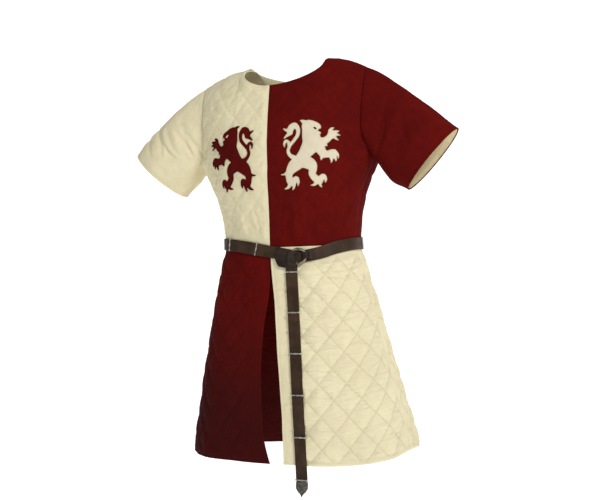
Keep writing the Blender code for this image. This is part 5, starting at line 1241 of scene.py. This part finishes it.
def strap_profile(width, thickness):
    """The section of a strap: across it and up from its under face, with rounded edges."""
    rounding = min(STRAP_ROUNDING, thickness * 0.42)
    half = width / 2 - rounding
    low, high = rounding, thickness - rounding
    corners = [(side * half + rounding * math.cos(turn), level + rounding * math.sin(turn))
               for side, level, start in ((-1, low, 180), (1, low, 270), (1, high, 0), (-1, high, 90))
               for turn in np.radians(np.linspace(start, start + 90, 4))]
    face = [(x, thickness) for x in np.linspace(1, -1, 9)[1:-1] * half]
    return np.array(corners[:12] + face + corners[12:])


def capped_loft(name, rings, finish, closed=False, sharp=40):
    """The piece over a row of rings of points, capped at both ends, or closed into a ring of rings."""
    number = np.arange(rings.shape[0] * rings.shape[1]).reshape(rings.shape[:2])
    faces = quads(np.pad(number, ((0, int(closed)), (0, 1)), mode="wrap").T)
    if not closed:
        faces += [number[0, ::-1].tolist(), number[-1].tolist()]
    return finished(name, rings, faces, finish, sharp)


def strap_rings(middles, across, out, widths, thickness):
    """A strap's rings of points, its surface a little uneven as worn leather is."""
    rings = []
    widths = np.broadcast_to(widths, len(middles))
    for k, (middle, side, away, width) in enumerate(zip(middles, across, out, widths)):
        profile = strap_profile(width, thickness)
        dish = STRAP_DISH * np.sin(k / 5.3 + 1.1 * math.sin(k / 13.0)) * (profile[:, 1:2] > thickness * 0.6)
        rings.append(middle + side * profile[:, :1] + away * (profile[:, 1:] - np.abs(dish)))
    return np.array(rings)


def leather(name, colour, dark, worn):
    """Vegetable-tanned leather, waxed dark: a fine grain, rubbed paler on its edges and where it bends. The
    last colour, put on the bends and scuffs, is rubbed wear, and on the knot its grey is also painted sheen.
    """
    work = Wiring(name, 0.46, specular=0.13)
    grain = work.noise(420.0, 4.0, roughness=0.6)
    pores = work.node("ShaderNodeTexVoronoi", [("feature", "DISTANCE_TO_EDGE")],
                      Vector=work.node("ShaderNodeTexCoord").outputs["Object"], Scale=700.0).outputs[0]
    cloud = work.noise(34.0, 4.0)
    scuffs = work.noise(90.0, 5.0, (1.0, 1.0, 3.0))
    bent = work.node("ShaderNodeNewGeometry").outputs["Pointiness"]
    tone = work.mix(work.ranged(cloud, 0.35, 0.68), dark, colour)
    tone = work.mix(work.ranged(bent, 0.52, 0.62, 0.0, 0.55), tone, worn)
    tone = work.mix(work.ranged(scuffs, 0.60, 0.74, 0.0, 0.35), tone, worn)
    height = work.relief(cloud, 0.0012, 0.25)
    height = work.relief(work.ranged(pores, 0.0, 0.09), 0.00012, 0.35, height)
    height = work.relief(grain, 0.0003, 0.3, height)
    rough = work.ranged(scuffs, 0.35, 0.75, 0.40, 0.62)
    return work.done(tone, height, rough)


belt_brown = leather("dark_belt_leather", (0.052, 0.028, 0.016, 1), (0.030, 0.017, 0.009, 1),
                     (0.090, 0.055, 0.038, 1))
# its pale grey on the bends and scuffs, on the knot and the ring's loop, is partly rubbed wear and partly
# painted sheen
knot_brown = leather("knot_leather", (0.036, 0.023, 0.016, 1), (0.016, 0.010, 0.007, 1),
                     (0.105, 0.082, 0.075, 1))
stops = np.concatenate([np.linspace(BAND_ENDS[0], BAND_FINE, BAND_STOPS[0])[:-1],
                        np.linspace(BAND_FINE, belt_walk[-1] + BAND_ENDS[1], BAND_STOPS[1])])
here, _, up, out = belt_frame(stops)
band_rings = strap_rings(here + out * STRAP_CLEAR, up, out, STRAP_WIDTH, STRAP_THICKNESS)
profile = strap_profile(STRAP_WIDTH, STRAP_THICKNESS)
swell = (RING_SWELL * bump(stops, 2.0, 8.0)[:, None] * bump(profile[:, 0], 0.0, 12.0)
         * (profile[:, 1] > STRAP_THICKNESS * 0.6))
band = capped_loft("waist_strap", band_rings + out[:, None] * swell[..., None], belt_brown)
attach(band, "root")
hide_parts("belt_band")
path = smooth_through(LOOP_PATH, 5)
here, along, up, out = belt_frame(path[:, 0])
run = unit(np.gradient(path[:, :2], axis=0))
away = along * run[:, 1:2] - out * run[:, 0:1]
rise = (STRAP_CLEAR + STRAP_THICKNESS + path[:, 1])[:, None]
loop = capped_loft("ring_loop", strap_rings(here + out * rise, up, away, path[:, 2], LOOP_THICKNESS),
                   knot_brown)
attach(loop, "root")
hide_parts("belt_ring_loop")

# The buckle: a cast brass ring, 40 mm across, lying flat on the strap and darkened with age. The strap's sewn
# end holds it on one side, and the free end comes up through it.


def metal(name, roughness, metallic, stains, dark, pale, pits, dull=None):
    """Cast metal, stained and slightly pitted. stains has the stains' scale, their detail and the range that
    shows, pits the pits' noise, depth and strength, and dull the roughness in the stains and out of them."""
    work = Wiring(name, roughness, metallic=metallic)
    stain = work.noise(*stains[:2])
    colour = work.mix(work.ranged(stain, *stains[2:]), dark, pale)
    return work.done(colour, work.relief(work.noise(*pits[0]), *pits[1:]),
                     work.ranged(stain, 0.3, 0.7, *dull) if dull else None)


here, along, up, out = (v[0] for v in belt_frame(np.array([0.0])))
ring_centre = here + out * (STRAP_CLEAR + STRAP_THICKNESS + LAY_GAP + BUCKLE_WIRE)
wire = np.linspace(0, 2 * math.pi, 20, endpoint=False)[:, None]
rings = []
for turn in np.linspace(0, 2 * math.pi, 96, endpoint=False):
    radial = along * math.cos(turn) + up * math.sin(turn)
    rings.append(ring_centre + radial * (BUCKLE_RADIUS + BUCKLE_WIRE * np.cos(wire))
                 + out * BUCKLE_WIRE * np.sin(wire))
aged_brass = metal("aged_brass", 0.42, 0.85, (120.0, 4.0, 0.36, 0.66), (0.12, 0.105, 0.065, 1),
                   (0.36, 0.33, 0.22, 1), ((500.0,), 0.0002, 0.3), (0.55, 0.32))
ring = capped_loft("round_buckle", np.array(rings), aged_brass, closed=True)
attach(ring, "root")
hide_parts("belt_ring")

# The knot: the free end comes up through the ring, over its edge and down across the strap. Bent hard, the
# leather is folded and creased there; its grey on the bends and scuffs is partly rubbed wear and partly
# painted sheen.
KNOT_THICKNESS, KNOT_LEFT_BOW, KNOT_EDGE, KNOT_ROUNDING = 3.0, -9.0, 0.55, 0.045
FOLD_DEPTH, FOLD_LOWEST, FOLDS_IN_FROM_EDGE = 0.55, -1.1, 0.12
KNOT_LIFT, KNOT_LIFT_FLAT, KNOT_LIFT_END = 8.0, 4.4, 12.0
KNOT_CORNERS = {"left_top": (-52.0, 15.0), "right_top": (2.0, 8.0), "right_bottom": (-5.0, -30.5),
                "left_bottom": (-41.0, -30.0)}
corners = {name: np.array(place) for name, place in KNOT_CORNERS.items()}
p, q = (v[..., None] for v in np.meshgrid(np.linspace(0, 1, 61), np.linspace(0, 1, 49), indexing="ij"))
spot = lerp(lerp(corners["left_bottom"], corners["right_bottom"], p),
            lerp(corners["left_top"], corners["right_top"], p), q)
spot = spot + np.concatenate([KNOT_LEFT_BOW * (1 - p) * 4 * q * (1 - q), np.zeros_like(p)], axis=-1)
reach = np.linalg.norm(spot, axis=-1)
lift = LAY_GAP + KNOT_LIFT * (1 - eased(np.abs(reach - BUCKLE_RADIUS), KNOT_LIFT_FLAT, KNOT_LIFT_END))
shape = spot.shape[:2] + (3,)
here, _, up, out = (v.reshape(shape) for v in belt_frame(spot[..., 0].ravel()))
under = here + up * spot[..., 1:2] + out * (STRAP_CLEAR + STRAP_THICKNESS + lift)[..., None]
crown = (KNOT_THICKNESS * (KNOT_EDGE + (1 - KNOT_EDGE) * np.sin(math.pi * q) ** 0.5
                           * np.sin(math.pi * np.clip(p + 0.12, 0, 1)) ** 0.5))
inwards = np.minimum.reduce([p, 1 - p, q, 1 - q])
folds = (0.9 * np.sin(9.0 * q + 5.0 * p + 1.2 * np.sin(4.0 * p)) + 0.5 * np.sin(21.0 * q - 7.0 * p + 0.6)
         + 0.3 * np.sin(34.0 * p + 9.0 * q)) * eased(inwards, 0.0, FOLDS_IN_FROM_EDGE)
edge_round = quarter_round(inwards / KNOT_ROUNDING)
over = under + out * (crown * (0.35 + 0.65 * edge_round) + np.maximum(folds, FOLD_LOWEST) * FOLD_DEPTH)
number = np.arange(2 * p.size).reshape((2,) + p.shape[:2])
low_rim, high_rim = rim(number[0]), rim(number[1])
edge = np.stack([low_rim, np.roll(low_rim, -1), np.roll(high_rim, -1), high_rim], axis=1).tolist()
faces = quads(number[0]) + quads(number[1]) + edge
knot = finished("strap_knot", np.stack([under, over]), faces, knot_brown, 50)
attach(knot, "root")
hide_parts("belt_knot")

# The tail: the rest of the strap, hanging down the left front over the skirt, with a cast chape on its tip.
CHAPE_DROP, CHAPE_THICKNESS, CHAPE_BEVEL = 32.0, 4.4, 1.1
# one side of it, from the middle of its straight end to its tip, in shares of half the strap and of the drop
CHAPE_SIDE = ((0.0, 0.0), (0.5, 0.0), (1.04, 0.0), (1.04, -0.2), (1.04, -0.4), (0.84, -0.53), (0.62, -0.68),
              (0.40, -0.74), (0.24, -0.82), (0.10, -0.91), (0.0, -1.0))
stops = np.linspace(TAIL_TOP[1], TAIL_END[1], 120)
here, along, _, out = tail_frame(stops)
tail = capped_loft("hanging_strap", strap_rings(here, along, out, STRAP_WIDTH, STRAP_THICKNESS), belt_brown)
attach(tail, "root")
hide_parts("belt_tail")
here, along, up, out = (v[0] for v in tail_frame(np.array([TAIL_END[1] - LAY_GAP])))
here = here + out * (STRAP_THICKNESS - CHAPE_THICKNESS) / 2
right = np.array(CHAPE_SIDE)
outline = np.roll(np.vstack([right, right[-2:0:-1] * (-1, 1)]), 2, axis=0) * (STRAP_WIDTH / 2, CHAPE_DROP)
middle = outline.mean(axis=0)
rings = []
bevel = ((0.0, CHAPE_BEVEL), (CHAPE_BEVEL * 0.4, CHAPE_BEVEL * 0.3), (CHAPE_BEVEL, 0.0))
for level, drawn_in in bevel + tuple((CHAPE_THICKNESS - level, drawn_in) for level, drawn_in in bevel[::-1]):
    row = middle + (outline - middle) * (1 - drawn_in / np.abs(outline - middle).max(axis=0))
    rings.append(here + along * row[:, :1] + up * row[:, 1:] + out * level)
dark_metal = metal("dark_chape_metal", 0.45, 0.9, (150.0, 4.0, 0.36, 0.66), (0.07, 0.065, 0.05, 1),
                   (0.17, 0.16, 0.13, 1), ((380.0,), 0.0003, 0.35), (0.6, 0.38))
chape = capped_loft("pointed_chape", np.array(rings), dark_metal, sharp=25)
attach(chape, "root")
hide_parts("belt_chape")

# The bars: fourteen cast bars riveted across the strap, at one pitch round the waist and down the tail.
BAR_LENGTH, BAR_WIDTH, BAR_HEIGHT, BAR_NECK, BAR_PITCH = 31.0, 4.6, 2.4, 0.62, 92.5
BAR_LOBES = ((-0.88, 0.34), (0.0, 0.3), (0.88, 0.34))       # shares of the half length: middle, half width
TAIL_BARS, BELT_BARS, FIRST_BAR_Z, FIRST_BAR_ANGLE, LAST_BAR_DISTANCE = 6, 8, -507.0, -10.0, 178.0
bar_metal = metal("satin_bar_metal", 0.34, 0.9, (260.0, 3.0, 0.35, 0.7), (0.24, 0.23, 0.20, 1),
                  (0.52, 0.50, 0.44, 1), ((700.0, 2.0, (1.0, 1.0, 6.0)), 0.0001, 0.3))
lobes = np.linspace(-1, 1, 33)
full = np.maximum.reduce([bump(lobes, *lobe) for lobe in BAR_LOBES])
tip = np.sqrt(np.clip(1 - (np.clip(np.abs(lobes) - 0.9, 0, 1) / 0.1) ** 2, 0.02, 1))
bar_arch = np.linspace(0, math.pi, 9)
rings = []
for along_bar, lobe, narrow in zip(lobes, full, tip):
    half = BAR_WIDTH / 2 * lerp(BAR_NECK, 1.0, lobe) * narrow
    high = BAR_HEIGHT * lerp(BAR_NECK, 1.0, lobe) * narrow
    rings.append(np.stack([np.full(9, along_bar * BAR_LENGTH / 2), half * np.cos(bar_arch),
                           high * np.sin(bar_arch) ** 0.8], axis=1))
one_bar = capped_loft("one_bar", np.array(rings), bar_metal, sharp=60)
start = np.interp(FIRST_BAR_ANGLE + 360.0, belt_angles, belt_walk)
here, _, up, out = belt_frame(np.linspace(start, LAST_BAR_DISTANCE, BELT_BARS))
tail_here, along, _, tail_out = tail_frame(FIRST_BAR_Z - np.arange(TAIL_BARS) * BAR_PITCH)
seats = np.concatenate([here + out * (STRAP_CLEAR + STRAP_THICKNESS + LAY_GAP),
                        tail_here + tail_out * (STRAP_THICKNESS + LAY_GAP)])
directions = {"ahead": np.concatenate([up, along]), "facing": np.concatenate([out, tail_out])}
bars = in_rows("strap_bars", (seats, []), directions, point_tree, one_bar, 1.0, bar_metal)
bpy.data.objects.remove(one_bar)
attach(bars, "root")
for k in range(BELT_BARS):
    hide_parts(f"belt_bar_{k + 1}")
for k in range(TAIL_BARS):
    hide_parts(f"tail_bar_{k + 1}")
